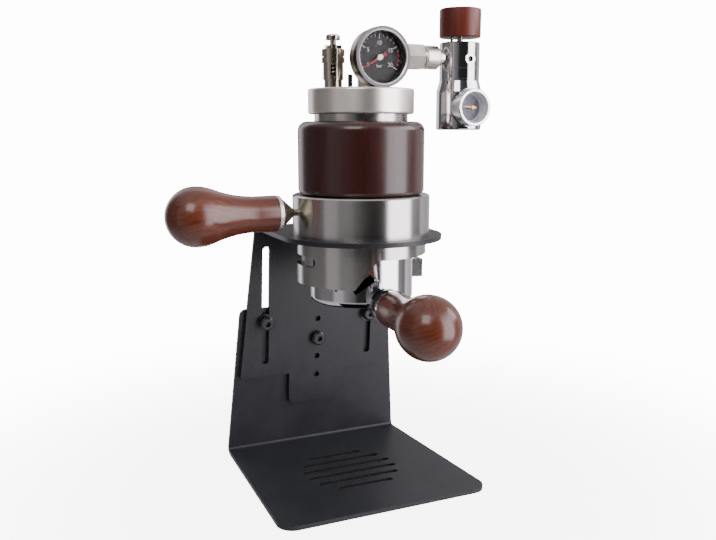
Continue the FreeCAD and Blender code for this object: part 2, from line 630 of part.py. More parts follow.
def turned(name, corners, plane="XZ_Plane", axis="V_Axis", up="0"):
    """A body turned from one outline of (radius, height) or, along H_Axis, (length, radius)."""
    body = new_body(name)
    sketch = new_sketch(body, plane)
    if up != "0":
        shift(sketch, y=up)
    outline(sketch, corners)
    spin(body, sketch, axis)
    return body


def place(item, x="0", y="0", z="0"):
    for axis, rule in (("x", x), ("y", y), ("z", z)):
        if rule != "0":
            item.setExpression(f".Placement.Base.{axis}", formula(rule))


def turn_about(item, axis, angle):
    item.Placement = FreeCAD.Placement(FreeCAD.Vector(), FreeCAD.Rotation(FreeCAD.Vector(*axis), 1))
    item.setExpression(".Placement.Rotation.Angle", formula(angle))


def on_plate(item, slope, sideways="0"):
    """Sets a piece on the back plate's front face, its own Z square to the plate."""
    turn_about(item, (1, 0, 0), "90 + lean")
    place(item, sideways, f"fold_y - ({slope}) * sin(lean)", f"({slope}) * cos(lean)")


def keep(item, name=None):
    """Enters a finished sub-part in the list of nodes."""
    if name:
        item.Label = name
    nodes.append(item)
    return item


def pair(name, body):
    """The same piece left and right, as one group of separate solids."""
    other = doc.addObject("Part::Mirroring", name + "_other")
    other.Source = body
    other.Normal = (1, 0, 0)
    group = doc.addObject("Part::Compound", name)
    group.Links = [body, other]
    return keep(group, name)


# ---------------------------------------------------------------- stand

def plate_point(slope, off):
    """A point of the side view: up the back plate's front face, and off it to the front."""
    y = f"fold_y - ({slope}) * sin(lean) - ({off}) * cos(lean)"
    z = f"({slope}) * cos(lean) - ({off}) * sin(lean)"
    return y, z


def plate_sketch(body):
    """A sketch in the back plate's front face: right, and up the plate from its foot."""
    sketch = new_sketch(body, "XZ_Plane")
    turn = FreeCAD.Rotation(FreeCAD.Vector(1, 0, 0), 1)
    sketch.AttachmentOffset = FreeCAD.Placement(FreeCAD.Vector(), turn)
    sketch.setExpression(".AttachmentOffset.Rotation.Angle", formula("lean"))
    shift(sketch, z="-fold_y")
    return sketch


def plate_y_at(height, off):
    """Where the line at an offset from the back plate's front face crosses a height."""
    return f"fold_y - ({height}) * tan(lean) - ({off}) / cos(lean)"


def make_base_bracket():
    body = new_body("base_bracket")
    side = new_sketch(body, "YZ_Plane")
    outline(side, [
        ("-base_front", "0"),
        (plate_y_at("0", "-sheet"), "0"),
        plate_point("plate_top", "-sheet"),
        plate_point("plate_top", "0"),
        (plate_y_at("sheet", "0"), "sheet"),
        ("-base_front", "sheet"),
    ])
    pad(body, side, "2 * base_front_half + 2 * sheet", SideType="Symmetric")
    inner = FreeCAD.Vector(0, size(plate_y_at("sheet", "0")), size("sheet"))
    outer = FreeCAD.Vector(0, size(plate_y_at("0", "-sheet")), 0)
    dress(body, "Fillet", is_line((1, 0, 0), inner), "bend_inner")
    dress(body, "Fillet", is_line((1, 0, 0), outer), "bend_inner + sheet")

    top = new_sketch(body, "XY_Plane")
    wide = "base_front_half + 4 * sheet"
    outline(top, [
        ("-base_front_half", "-base_front - sheet"), ("base_front_half", "-base_front - sheet"),
        ("base_fold_half", "fold_y + 2 * sheet"), ("-base_fold_half", "fold_y + 2 * sheet"),
    ])
    outline(top, [
        (f"-({wide})", "-base_front - 3 * sheet"), (wide, "-base_front - 3 * sheet"),
        (wide, "fold_y + 4 * sheet"), (f"-({wide})", "fold_y + 4 * sheet"),
    ])
    cut(body, top, SideType="Symmetric")

    front = new_sketch(body, "XZ_Plane")
    knee = "2 * sheet"
    high = "plate_top * cos(lean) + sheet * sin(lean)"
    top_half = (f"(plate_top_half - (base_fold_half - plate_top_half) * sheet * sin(lean)"
                f" / (plate_top * cos(lean) - {knee}))")
    outline(front, [
        (wide, knee), ("base_fold_half", knee), (top_half, high),
        (top_half, f"{high} + 4 * sheet"), (wide, f"{high} + 4 * sheet"),
    ])
    outline(front, [
        (f"-({wide})", knee), ("-base_fold_half", knee), (f"-{top_half}", high),
        (f"-{top_half}", f"{high} + 4 * sheet"), (f"-({wide})", f"{high} + 4 * sheet"),
    ])
    cut(body, front, SideType="Symmetric")

    drip = new_sketch(body, "XY_Plane")
    for index in range(DRIP_SLOTS):
        off = f"({index} - {(DRIP_SLOTS - 1) / 2}) * drip_pitch"
        y = f"drip_y + {off}"
        half = f"sqrt(drip_field * drip_field - ({off}) * ({off})) - drip_width / 2"
        slot(drip, (f"-({half})", y), (half, y), "drip_width / 2")
    cut(body, drip, SideType="Symmetric")

    holes = plate_sketch(body)
    circle(holes, "track_half", "clamp_at", "screw_r + track_play")
    circle(holes, "-track_half", "clamp_at", "screw_r + track_play")
    cut(body, holes, SideType="Symmetric")

    edge_x = size("base_front_half - (base_front_half - base_fold_half) * sheet"
                  " / (base_front + fold_y + 3 * sheet)")
    corners = [FreeCAD.Vector(k * edge_x, -size("base_front"), 0) for k in (-1, 1)]
    dress(body, "Fillet", is_line((0, 0, 1), *corners), "base_corner")
    across = (0, math.cos(math.radians(size("lean"))), math.sin(math.radians(size("lean"))))
    tops = []
    for k in (-1, 1):
        y, z = (size(rule) for rule in plate_point("plate_top", "0"))
        tops.append(FreeCAD.Vector(k * size("plate_top_half"), y, z))
    dress(body, "Fillet", is_line(across, *tops), "plate_corner")
    return keep(body)


def make_height_slider():
    body = new_body("height_slider")
    near = "slide_gap + sheet"
    side = new_sketch(body, "YZ_Plane")
    outline(side, [
        ("-ring_r", "ring_top - sheet"),
        (plate_y_at("ring_top - sheet", near), "ring_top - sheet"),
        plate_point("tongue_end", near),
        plate_point("tongue_end", "slide_gap"),
        (plate_y_at("ring_top", "slide_gap"), "ring_top"),
        ("-ring_r", "ring_top"),
    ])
    pad(body, side, "2 * slider_foot_half + 4 * sheet", SideType="Symmetric")
    inner = FreeCAD.Vector(0, size(plate_y_at("ring_top - sheet", near)), size("ring_top - sheet"))
    outer = FreeCAD.Vector(0, size(plate_y_at("ring_top", "slide_gap")), size("ring_top"))
    dress(body, "Fillet", is_line((1, 0, 0), inner), "bend_inner")
    dress(body, "Fillet", is_line((1, 0, 0), outer), "bend_inner + sheet")

    front = new_sketch(body, "XZ_Plane")
    wide = "slider_foot_half + 4 * sheet"
    foot = "slider_foot * cos(lean)"
    end = "tongue_end * cos(lean)"
    knee = "ring_top - 1.5 * sheet"
    for sign in ("", "-"):
        outline(front, [
            (f"{sign}({wide})", knee), (f"{sign}slider_top_half", knee),
            (f"{sign}slider_foot_half", foot), (f"{sign}tongue_half", foot),
            (f"{sign}tongue_half", f"{end} - 4 * sheet"), (f"{sign}({wide})", f"{end} - 4 * sheet"),
        ])
    cut(body, front, SideType="Symmetric")

    top = new_sketch(body, "XY_Plane")
    ring_outline(top)
    outline(top, [
        (f"-({wide})", "-ring_r - 2 * sheet"), (wide, "-ring_r - 2 * sheet"),
        (wide, "fold_y + sheet"), (f"-({wide})", "fold_y + sheet"),
    ])
    shift(top, z="ring_top - 1.5 * sheet")
    cut(body, top, "3 * sheet", Reversed=True)

    bore = new_sketch(body, "XY_Plane")
    circle(bore, "0", "0", "collar_r + ring_play")
    shift(bore, z="ring_top - 1.5 * sheet")
    cut(body, bore, "3 * sheet", Reversed=True)

    tracks = plate_sketch(body)
    radius = "screw_r + track_play"
    low = f"track_low + {radius}"
    high = f"ring_top / cos(lean) - track_margin - ({radius})"
    for x in ("track_half", "-track_half"):
        slot(tracks, (x, low), (x, high), radius)
    for index in INDEX_HOLES:
        circle(tracks, "0", f"index_low + {index} * index_pitch", "index_r")
    circle(tracks, "0", "lock_at", "screw_r + screw_fit")
    cut(body, tracks, SideType="Symmetric")

    across = (0, math.cos(math.radians(size("lean"))), math.sin(math.radians(size("lean"))))
    ends = []
    for k in (-1, 1):
        y, z = (size(rule) for rule in plate_point("tongue_end", near))
        ends.append(FreeCAD.Vector(k * size("tongue_half"), y, z))
    dress(body, "Fillet", is_line(across, *ends), "tongue_corner")
    feet = [FreeCAD.Vector(k * size("slider_foot_half"), 0, size(foot)) for k in (-1, 1)]
    dress(body, "Fillet", is_line((0, 1, 0), *feet), "slider_corner")
    return keep(body)


def ring_outline(sketch):
    """The ring from above: a round front whose straight sides run back to the fold."""
    back = "fold_y - ring_top * tan(lean) + sheet"
    r = size("ring_r")
    x = size("slider_top_half")
    y = size(back)
    slope = math.atan2(r - x, y)
    touch = FreeCAD.Vector(r * math.cos(slope), r * math.sin(slope), 0)
    mirror = FreeCAD.Vector(-touch.x, touch.y, 0)
    round_front = Part.ArcOfCircle(Part.Circle(FreeCAD.Vector(), FreeCAD.Vector(0, 0, 1), r),
                                   math.pi - slope, 2 * math.pi + slope)
    arc = sketch.addGeometry(round_front, False)
    right = sketch.addGeometry(Part.LineSegment(touch, FreeCAD.Vector(x, y, 0)), False)
    rear = sketch.addGeometry(Part.LineSegment(FreeCAD.Vector(x, y, 0), FreeCAD.Vector(-x, y, 0)), False)
    left = sketch.addGeometry(Part.LineSegment(FreeCAD.Vector(-x, y, 0), mirror), False)
    sketch.addConstraint(Sketcher.Constraint("Tangent", arc, 2, right, 1))
    sketch.addConstraint(Sketcher.Constraint("Coincident", right, 2, rear, 1))
    sketch.addConstraint(Sketcher.Constraint("Coincident", rear, 2, left, 1))
    sketch.addConstraint(Sketcher.Constraint("Tangent", left, 2, arc, 1))
    sketch.addConstraint(Sketcher.Constraint("Coincident", arc, 3, -1, 1))
    bind(sketch, "Radius", (arc,), "ring_r")
    pin(sketch, rear, 1, "slider_top_half", back)
    pin(sketch, rear, 2, "-slider_top_half", back)


def make_screw(name, tail, seat):
    """A button-head screw along its own Z: tail and seat are heights off the back plate."""
    top = f"{seat} + head_rise"
    body = turned(name, [
        ("0", tail), ("screw_r", tail), ("screw_r", seat), ("head_r", seat),
        ("head_r", f"{top} - head_crown"), ("head_r - head_crown", top), ("0", top),
    ])
    socket = new_sketch(body, "XY_Plane")
    shift(socket, z=top)
    outline(socket, hexagon_corners("socket_across"))
    cut(body, socket, "socket_deep")
    return body


def make_side_screws():
    seat = "slide_gap + sheet + washer_thick"
    screw = make_screw("side_screw", "-(sheet + nut_thick + screw_past_nut)", seat)
    on_plate(screw, "clamp_at", "track_half")
    pair("side_screws", screw)


def make_side_washers():
    low = "slide_gap + sheet"
    washer = turned("side_washer", [
        ("screw_r + screw_fit", low), ("washer_r", low),
        ("washer_r", f"{low} + washer_thick"), ("screw_r + screw_fit", f"{low} + washer_thick"),
    ])
    on_plate(washer, "clamp_at", "track_half")
    pair("side_washers", washer)


def make_side_nuts():
    body = new_body("side_nut")
    sketch = new_sketch(body, "XY_Plane")
    shift(sketch, z="-sheet - nut_thick")
    outline(sketch, hexagon_corners("nut_across"))
    circle(sketch, "0", "0", "screw_r + screw_fit")
    pad(body, sketch, "nut_thick")
    on_plate(body, "clamp_at", "track_half")
    pair("side_nuts", body)


def make_lock_screw():
    body = make_screw("lock_screw", "slide_gap", "slide_gap + sheet")
    on_plate(body, "lock_at")
    return keep(body)


# ---------------------------------------------------------------- brewer

def make_group_body():
    boss_low = "web_low - boss_drop"
    body = turned("group_body", [
        ("0", boss_low), ("boss_r", boss_low), ("boss_r", "web_low"), ("collar_in", "web_low"),
        ("collar_in", "collar_low"), ("collar_r", "collar_low"), ("collar_r", "ring_top"),
        ("flange_r", "ring_top"), ("flange_r", "body_top"),
        ("vessel_r + vessel_fit", "body_top"), ("vessel_r + vessel_fit", "seat_z"),
        ("plenum_r", "seat_z"), ("plenum_r", "web_top"), ("0", "web_top"),
    ])
    dress(body, "Chamfer", is_ring("flange_r", "body_top"), "body_edge")
    drill_water_holes(body)

    stud = radial_sketch(body, "180", "cone_root")
    circle(stud, "0", "side_z", "cone_tip_r + stud_fit")
    cut(body, stud, "flange_r", Reversed=True)
    cut_bayonet(body)
    cut_window(body)
    return keep(body)


def drill_water_holes(body):
    hole = new_sketch(body, "XY_Plane")
    circle(hole, "water_hole_ring", "0", "water_hole_r")
    shift(hole, z="web_low - 2 * boss_drop")
    drilled = cut(body, hole, "web_top", Reversed=True)
    ring = body.newObject("PartDesign::PolarPattern", "WaterHoles")
    ring.Originals = [drilled]
    ring.Axis = (origin_feature(body, "Z_Axis"), [""])
    ring.Angle = 360.0
    ring.setExpression("Occurrences", formula("water_holes"))
    body.Tip = ring
    thread = new_sketch(body, "XY_Plane")
    circle(thread, "0", "0", "screen_screw_r + screw_fit")
    shift(thread, z="web_low - 2 * boss_drop")
    cut(body, thread, "2 * boss_drop + screen_screw_long", Reversed=True)


def cut_bayonet(body):
    """Two level slots for the ears, each with an opening downwards at its far end."""
    wall = ("collar_in - boss_drop", "collar_r + boss_drop")
    level = sector_cut(body, "slot_end - slot_span", "slot_span", "slot_low", "slot_high", *wall)
    entry = sector_cut(body, "slot_end - slot_span", "entry_span", "collar_low - boss_drop",
                       "slot_high", *wall)
    closed = radial_sketch(body, "slot_end", "collar_in - boss_drop")
    circle(closed, "0", "(slot_low + slot_high) / 2", "(slot_high - slot_low) / 2")
    rounded = cut(body, closed, "collar_r - collar_in + 3 * boss_drop", Reversed=True)
    twins(body, [level, entry, rounded])


def cut_window(body):
    """The window that the handle's neck stands in, and its ramp."""
    wall = ("collar_in - boss_drop", "collar_r + boss_drop")
    below = "collar_low - boss_drop"
    sector_cut(body, "window_ramp_head", "window_end - window_ramp_head", below, "window_top", *wall)
    middle = "(window_ramp_foot + window_ramp_head) / 2"
    half = "collar_r * sin((window_ramp_head - window_ramp_foot) / 2)"
    ramp = radial_sketch(body, middle, "collar_in - boss_drop")
    outline(ramp, [
        (f"-({half})", below), (f"-({half})", "collar_low"), (half, "window_top"),
        (f"{half} + boss_drop", "window_top"), (f"{half} + boss_drop", below),
    ])
    cut(body, ramp, "collar_r - collar_in + 3 * boss_drop", Reversed=True)


def make_water_chamber():
    low = "seat_z + vessel_seal_thick"
    inside = "vessel_r - vessel_wall"
    body = turned("water_chamber", [
        (inside, low), ("vessel_r", low), ("vessel_r", "vessel_shoulder"),
        ("neck_r", "vessel_shoulder"), ("neck_r", "neck_top"), ("neck_in", "neck_top"),
        ("neck_in", "vessel_shoulder - vessel_wall"), (inside, "vessel_shoulder - vessel_wall"),
    ])
    return keep(body)


def make_chamber_seal():
    top = "seat_z + vessel_seal_thick"
    inside = "vessel_r - vessel_wall + vessel_fit"
    return keep(turned("chamber_seal", [
        (inside, "seat_z"), ("vessel_r", "seat_z"), ("vessel_r", top), (inside, top),
    ]))


def make_wood_sleeve():
    under = "vessel_shoulder + wood_fit"
    body = turned("wood_sleeve", [
        ("vessel_r + vessel_fit", "body_top"), ("wood_r", "body_top"), ("wood_r", "wood_top"),
        ("neck_r + wood_fit", "wood_top"), ("neck_r + wood_fit", under), ("vessel_r + vessel_fit", under),
    ])
    dress(body, "Fillet", is_ring("wood_r", "wood_top"), "wood_round")
    dress(body, "Fillet", is_ring("wood_r", "body_top"), "wood_edge")
    return keep(body)


def make_group_gasket():
    low = "web_low - gasket_thick"
    return keep(turned("group_gasket", [
        ("boss_r + gasket_fit", low), ("collar_in - gasket_fit", low),
        ("collar_in - gasket_fit", "web_low"), ("boss_r + gasket_fit", "web_low"),
    ]))


def make_shower_screen():
    top = "web_low - boss_drop - screen_gap"
    return keep(turned("shower_screen", [
        ("screen_screw_r + screw_fit", f"{top} - screen_thick"), ("screen_r", f"{top} - screen_thick"),
        ("screen_r", top), ("screen_screw_r + screw_fit", top),
    ]))


def make_screen_screw():
    seat = "web_low - boss_drop - screen_gap - screen_thick"
    return keep(turned("screen_screw", [
        ("0", f"{seat} - screen_head_rise"), ("screen_head_r", f"{seat} - screen_head_rise"),
        ("screen_head_r", seat), ("screen_screw_r", seat),
        ("screen_screw_r", f"{seat} + screen_screw_long"), ("0", f"{seat} + screen_screw_long"),
    ]))


# ---------------------------------------------------------------- handles

def make_grip(name):
    """A turned grip along its own X: slim neck, swelling shoulder and ball end."""
    body = new_body(name)
    sketch = new_sketch(body, "XZ_Plane")
    neck_at = size("grip_neck_at")
    neck_r = size("grip_neck_r")
    ball_r = size("grip_ball_r")
    shoulder_r = size("grip_shoulder_r")
    middle = size("grip_long") - ball_r
    drop = ball_r - shoulder_r
    run = middle - neck_at
    # The hollow curve touches the neck level and the shoulder's circle from outside.
    rise = neck_r - drop
    hollow_r = (run * run + rise * rise - shoulder_r * shoulder_r) / (2 * (shoulder_r - rise))
    lean = math.atan2(rise + hollow_r, run)
    bore = "stud_r + stud_fit"
    deep = "stud_reach + stud_spare"
    corners = [("grip_long", "0"), (deep, "0"), (deep, bore), ("0", bore), ("0", "grip_end_r"),
               ("grip_neck_at", "grip_neck_r")]
    places = [FreeCAD.Vector(size(x), size(y), 0) for x, y in corners]
    for start, end in zip(places, places[1:]):
        sketch.addGeometry(Part.LineSegment(start, end), False)
    up = FreeCAD.Vector(0, 0, 1)
    hollow = sketch.addGeometry(Part.ArcOfCircle(
        Part.Circle(FreeCAD.Vector(neck_at, neck_r + hollow_r, 0), up, hollow_r),
        1.5 * math.pi, 2 * math.pi - lean), False)
    shoulder = sketch.addGeometry(Part.ArcOfCircle(
        Part.Circle(FreeCAD.Vector(middle, drop, 0), up, shoulder_r),
        0.5 * math.pi, math.pi - lean), False)
    ball = sketch.addGeometry(Part.ArcOfCircle(
        Part.Circle(FreeCAD.Vector(middle, 0, 0), up, ball_r), 0, 0.5 * math.pi), False)
    for index in range(1, len(corners) - 1):
        sketch.addConstraint(Sketcher.Constraint("Coincident", index - 1, 2, index, 1))
        pin(sketch, index, 1, *corners[index])
    last = len(corners) - 2
    pin(sketch, last, 2, *corners[-1])
    pin(sketch, 0, 1, *corners[0])
    sketch.addConstraint(Sketcher.Constraint("Coincident", last, 2, hollow, 1))
    sketch.addConstraint(Sketcher.Constraint("Vertical", hollow, 1, hollow, 3))
    sketch.addConstraint(Sketcher.Constraint("Tangent", hollow, 2, shoulder, 2))
    sketch.addConstraint(Sketcher.Constraint("Tangent", shoulder, 1, ball, 2))
    sketch.addConstraint(Sketcher.Constraint("Vertical", shoulder, 3, ball, 3))
    sketch.addConstraint(Sketcher.Constraint("PointOnObject", ball, 3, -1))
    sketch.addConstraint(Sketcher.Constraint("Coincident", ball, 1, 0, 1))
    bind(sketch, "Radius", (shoulder,), "grip_shoulder_r")
    bind(sketch, "Radius", (ball,), "grip_ball_r")
    spin(body, sketch, "H_Axis")
    return keep(body)


def make_stud(name, start):
    """A stud along its own X, from inside the metal end to deep in the grip."""
    return keep(turned(name, [
        (start, "0"), ("stud_reach", "0"), ("stud_reach", "stud_r"), (start, "stud_r"),
    ], axis="H_Axis"))


def aim(item, azimuth, distance, height):
    """Points a handle's own X along an azimuth, from a distance off the brewing axis."""
    turn_about(item, (0, 0, 1), azimuth)
    place(item, f"({distance}) * cos({azimuth})", f"({distance}) * sin({azimuth})", height)


def make_side_handle():
    cone = new_body("side_handle_cone")
    sketch = new_sketch(cone, "XZ_Plane")
    outline(sketch, [
        ("cone_root - side_start", "0"), ("cone_root - side_start", "cone_tip_r"),
        ("cone_tip_at - side_start", "cone_tip_r"), ("-cone_rim_long", "cone_rim_r - stud_spare"),
        ("-cone_rim_long", "cone_rim_r"), ("0", "cone_rim_r"), ("0", "stud_r + stud_fit"),
        ("-cone_socket", "stud_r + stud_fit"), ("-cone_socket", "0"),
    ])
    spin(cone, sketch, "H_Axis")
    grip = make_grip("side_handle_grip")
    stud = make_stud("side_handle_stud", "stud_spare - cone_socket")
    for item in (keep(cone), grip, stud):
        aim(item, "180", "side_start", "side_z")


# ---------------------------------------------------------------- portafilter

def make_portafilter_body():
    lip = "cup_low + cup_lip_thick"
    body = turned("portafilter_body", [
        ("cup_lip_in", "cup_low"), ("cup_r", "cup_low"), ("cup_r", "cup_top"), ("cup_in", "cup_top"),
        ("cup_in", lip), ("cup_lip_in", lip),
    ])
    dress(body, "Fillet", is_ring("cup_r", "cup_low"), "cup_round")
    clip = new_sketch(body, "XZ_Plane")
    depth = "basket_r + 2 * clip_wire + 3 * clip_fit"
    outline(clip, [
        ("cup_lip_in", "clip_z - clip_wire - clip_fit"), (depth, "clip_z - clip_wire - clip_fit"),
        (depth, "clip_z + clip_wire + clip_fit"), ("cup_lip_in", "clip_z + clip_wire + clip_fit"),
    ])
    spin(body, clip, kind="Groove")

    ear = meridian_sketch(body, "ear_at - handle_turn - ear_half")
    low = "slot_low + ear_play"
    high = "slot_high - ear_play"
    inside = "(cup_r + cup_in) / 2"
    outline(ear, [(inside, low), ("ear_r", low), ("ear_r", high), (inside, high)])
    twins(body, [spin(body, ear, angle="2 * ear_half")])

    neck = new_sketch(body, "YZ_Plane")
    shift(neck, y="portafilter_z")
    outline(neck, [
        ("-neck_root", "0"), ("-neck_root", "neck_slim_r"), ("-neck_flare_at", "neck_slim_r"),
        ("-neck_ring_at", "neck_ring_r"), ("-neck_waist_at", "neck_ring_r"),
        ("-neck_waist_at", "neck_waist_r"), ("-neck_end", "neck_waist_r"),
        ("-neck_end", "stud_r + stud_fit"), ("neck_socket - neck_end", "stud_r + stud_fit"),
        ("neck_socket - neck_end", "0"),
    ])
    spin(body, neck, "H_Axis")

    dimple = radial_sketch(body, "dimple_at - handle_turn", "(cup_r + cup_in) / 2")
    circle(dimple, "0", "dimple_z", "dimple_r")
    cut(body, dimple, "cup_r", Reversed=True)
    cut_relief(body)
    turn_about(body, (0, 0, 1), "handle_turn")
    return keep(body)


def cut_relief(body):
    """The slanted recess in the cup's wall, beside the neck and in line with the ramp."""
    sketch = radial_sketch(body, "relief_at - handle_turn", "cup_r - relief_deep")
    corners = []
    for along, across in ((-1, -1), (1, -1), (1, 1), (-1, 1)):
        u = f"{along} * relief_long / 2"
        v = f"{across} * relief_wide / 2"
        corners.append((f"({u}) * cos(relief_slope) - ({v}) * sin(relief_slope)",
                        f"relief_z + ({u}) * sin(relief_slope) + ({v}) * cos(relief_slope)"))
    outline(sketch, corners)
    cut(body, sketch, "cup_r", Reversed=True)


def make_portafilter_handle():
    ferrule = turned("portafilter_ferrule", [
        ("-ferrule_long", "stud_r + stud_fit"), ("-ferrule_long", "ferrule_r"), ("0", "ferrule_r"),
        ("0", "stud_r + stud_fit"),
    ], axis="H_Axis")
    grip = make_grip("portafilter_grip")
    stud = make_stud("portafilter_stud", "stud_spare - neck_socket - ferrule_long")
    for item in (keep(ferrule), grip, stud):
        aim(item, "handle_turn - 90", "neck_end + ferrule_long", "portafilter_z")


def make_filter_basket():
    rim = "cup_top + basket_rim_thick"
    straight = "cup_top - basket_straight"
    return keep(turned("filter_basket", [
        ("0", "basket_low"), ("basket_foot_r", "basket_low"), ("basket_r", straight),
        ("basket_r", "cup_top"), ("basket_rim_r", "cup_top"), ("basket_rim_r", rim),
        ("basket_r - basket_wall", rim), ("basket_r - basket_wall", straight),
        ("basket_foot_r - basket_wall", "basket_low + basket_wall"), ("0", "basket_low + basket_wall"),
    ]))


def make_basket_clip():
    ring = doc.addObject("Part::Torus", "basket_clip")
    ring.setExpression("Radius1", formula("basket_r + clip_wire + 2 * clip_fit"))
    ring.setExpression("Radius2", formula("clip_wire"))
    ring.setExpression("Angle3", formula("360 - clip_gap"))
    place(ring, z="clip_z")
    return keep(ring)


# ---------------------------------------------------------------- lid

def make_lid():
    bore = "neck_r + lid_fit"
    body = turned("lid", [
        (bore, "lid_low"), ("lid_r", "lid_low"), ("lid_r", "lid_top"), ("0", "lid_top"),
        ("0", "lid_ceiling"), (bore, "lid_ceiling"),
    ])
    dress(body, "Fillet", is_ring("lid_r", "lid_top"), "lid_round")
    dress(body, "Fillet", is_ring("lid_r", "lid_low"), "lid_round")
    holes = new_sketch(body, "XY_Plane")
    circle(holes, "valve_x", "0", "valve_tail_r + thread_fit")
    circle(holes, "post_x", "0", "post_tail_r + thread_fit")
    cut(body, holes, Reversed=True)
    pin_hole = new_sketch(body, "XY_Plane")
    shift(pin_hole, z="lid_top")
    circle(pin_hole, "pin_x", "pin_y", "pin_r + screw_fit")
    cut(body, pin_hole, "(lid_top - lid_ceiling) / 2")
    return keep(body)


def make_lid_seal():
    return keep(turned("lid_seal", [
        ("seal_in", "neck_top"), ("seal_r", "neck_top"), ("seal_r", "lid_ceiling"),
        ("seal_in", "lid_ceiling"),
    ]))


def make_lid_pin():
    low = "(lid_top + lid_ceiling) / 2"
    body = turned("lid_pin", [("0", low), ("pin_r", low), ("pin_r", "pin_top"), ("0", "pin_top")])
    place(body, "pin_x", "pin_y")
    return keep(body)


def make_gauge_post():
    body = turned("gauge_post", [
        ("post_bore_r", "lid_ceiling"), ("post_tail_r", "lid_ceiling"), ("post_tail_r", "lid_top"),
        ("post_r", "lid_top"), ("post_r", "post_top"), ("0", "post_top"), ("0", "post_bore_top"),
        ("post_bore_r", "post_bore_top"),
    ])
    dress(body, "Fillet", is_ring("post_r", "post_top"), "post_round")
    front = radial_sketch(body, "-90", "port_start")
    circle(front, "0", "gauge_z", "gauge_stem_r + thread_fit")
    cut(body, front, "post_r", Reversed=True)
    side = radial_sketch(body, "0", "port_start")
    circle(side, "0", "inlet_z", "adapter_tail_r + thread_fit")
    cut(body, side, "post_r", Reversed=True)
    place(body, "post_x")
    return keep(body)


def make_relief_valve():
    body = turned("relief_valve_body", [
        ("valve_orifice_r", "lid_ceiling"), ("valve_tail_r", "lid_ceiling"), ("valve_tail_r", "lid_top"),
        ("valve_base_r", "lid_top"), ("valve_base_r", "valve_base_top"), ("valve_r", "valve_base_top"),
        ("valve_r", "valve_body_top"), ("valve_bore_r", "valve_body_top"),
        ("valve_bore_r", "valve_seat_z"), ("valve_orifice_r", "valve_seat_z"),
    ])
    window = radial_sketch(body, "valve_window_at")
    slot(window, ("0", "valve_window_low + valve_window_half"),
         ("0", "valve_window_high - valve_window_half"), "valve_window_half")
    cut(body, window, "2 * valve_r", Reversed=True)
    hole = "stem_r + stem_fit"
    groove = "cap_r - cap_groove_deep"
    cap = turned("relief_valve_cap", [
        (hole, "valve_body_top"), ("cap_r", "valve_body_top"),
        ("cap_r", "cap_groove_z - cap_groove_half"), (groove, "cap_groove_z - cap_groove_half"),
        (groove, "cap_groove_z + cap_groove_half"), ("cap_r", "cap_groove_z + cap_groove_half"),
        ("cap_r", "cap_top"), ("crown_r", "cap_top"), ("crown_r", "crown_top"), (hole, "crown_top"),
    ])
    vent = radial_sketch(cap, "cap_vent_at")
    circle(vent, "0", "cap_vent_z", "cap_vent_r")
    cut(cap, vent, "2 * cap_r", Reversed=True)
    for index in range(int(size("crown_gaps"))):
        sector_cut(cap, f"crown_gap_at + {index} * 360 / crown_gaps", "crown_gap_span", "cap_top",
                   "2 * crown_top - cap_top", "stem_r", "2 * crown_r")
    disc_top = "valve_seat_z + disc_thick"
    stem = turned("relief_valve_stem", [
        ("0", "valve_seat_z"), ("disc_r", "valve_seat_z"), ("disc_r", disc_top), ("stem_r", disc_top),
        ("stem_r", "pull_low"), ("pull_r", "pull_low"), ("pull_r", "pull_top"), ("0", "pull_top"),
    ])
    dress(stem, "Fillet", is_ring("pull_r", "pull_top"), "pull_round")
    spring = make_spring("relief_spring", disc_top, "valve_body_top", "valve_coil_r",
                         "valve_wire_r", "valve_coil_pitch")
    for item in (body, cap, stem, spring):
        place(item, "valve_x")
        keep(item)


def make_spring(name, low, high, coil_r, wire_r, pitch):
    """A coil spring round Z that fills the room between two heights."""
    body = new_body(name)
    wire = new_sketch(body, "XZ_Plane")
    circle(wire, coil_r, f"{low} + {wire_r} + screw_fit", wire_r)
    coil = feature(body, "AdditiveHelix", wire, ReferenceAxis=(wire, ["V_Axis"]), Mode=0)
    coil.setExpression("Pitch", formula(pitch))
    coil.setExpression("Height", formula(f"{high} - ({low}) - 2 * {wire_r} - 2 * screw_fit"))
    return body


# ---------------------------------------------------------------- gauges

def make_gauge_disc(name, radius, front, thick, hole=None):
    """A round plate of a gauge, its front face at a distance from the case's back."""
    inner = hole or "0"
    return turned(name, [
        (f"-({front})", inner), (f"-({front})", radius), (f"{thick} - ({front})", radius),
        (f"{thick} - ({front})", inner),
    ], plane="YZ_Plane", axis="H_Axis")


def make_needle(name, dial_at, gap, long, tail, half, tail_half, hub):
    """A needle that points along its own X, with hub and spindle on Y."""
    body = new_body(name)
    blade = new_sketch(body, "XZ_Plane")
    shift(blade, z=f"{dial_at} + {gap}")
    outline(blade, [
        (f"-({tail})", f"-({tail_half})"), ("0", f"-({half})"), (long, "-needle_tip_half"),
        (long, "needle_tip_half"), ("0", half), (f"-({tail})", tail_half),
    ])
    pad(body, blade, "needle_thick")
    front = f"{dial_at} + {gap} + hub_thick"
    back = f"{dial_at} - dial_thick"
    axle = new_sketch(body, "YZ_Plane")
    outline(axle, [
        (f"-({front})", "0"), (f"-({front})", hub), (f"-({dial_at} + {gap} / 2)", hub),
        (f"-({dial_at} + {gap} / 2)", "spindle_r"), (f"-({back})", "spindle_r"), (f"-({back})", "0"),
    ])
    spin(body, axle, "H_Axis")
    return body


def stand_gauge(item, centre, turn, rest=0.0):
    """Sets a gauge's piece at its place, facing its way, with a needle turned to its rest."""
    facing = FreeCAD.Rotation(FreeCAD.Vector(0, 0, 1), turn)
    clockwise = FreeCAD.Rotation(FreeCAD.Vector(0, 1, 0), -rest)
    item.Placement = FreeCAD.Placement(centre, facing * clockwise)
    keep(item)


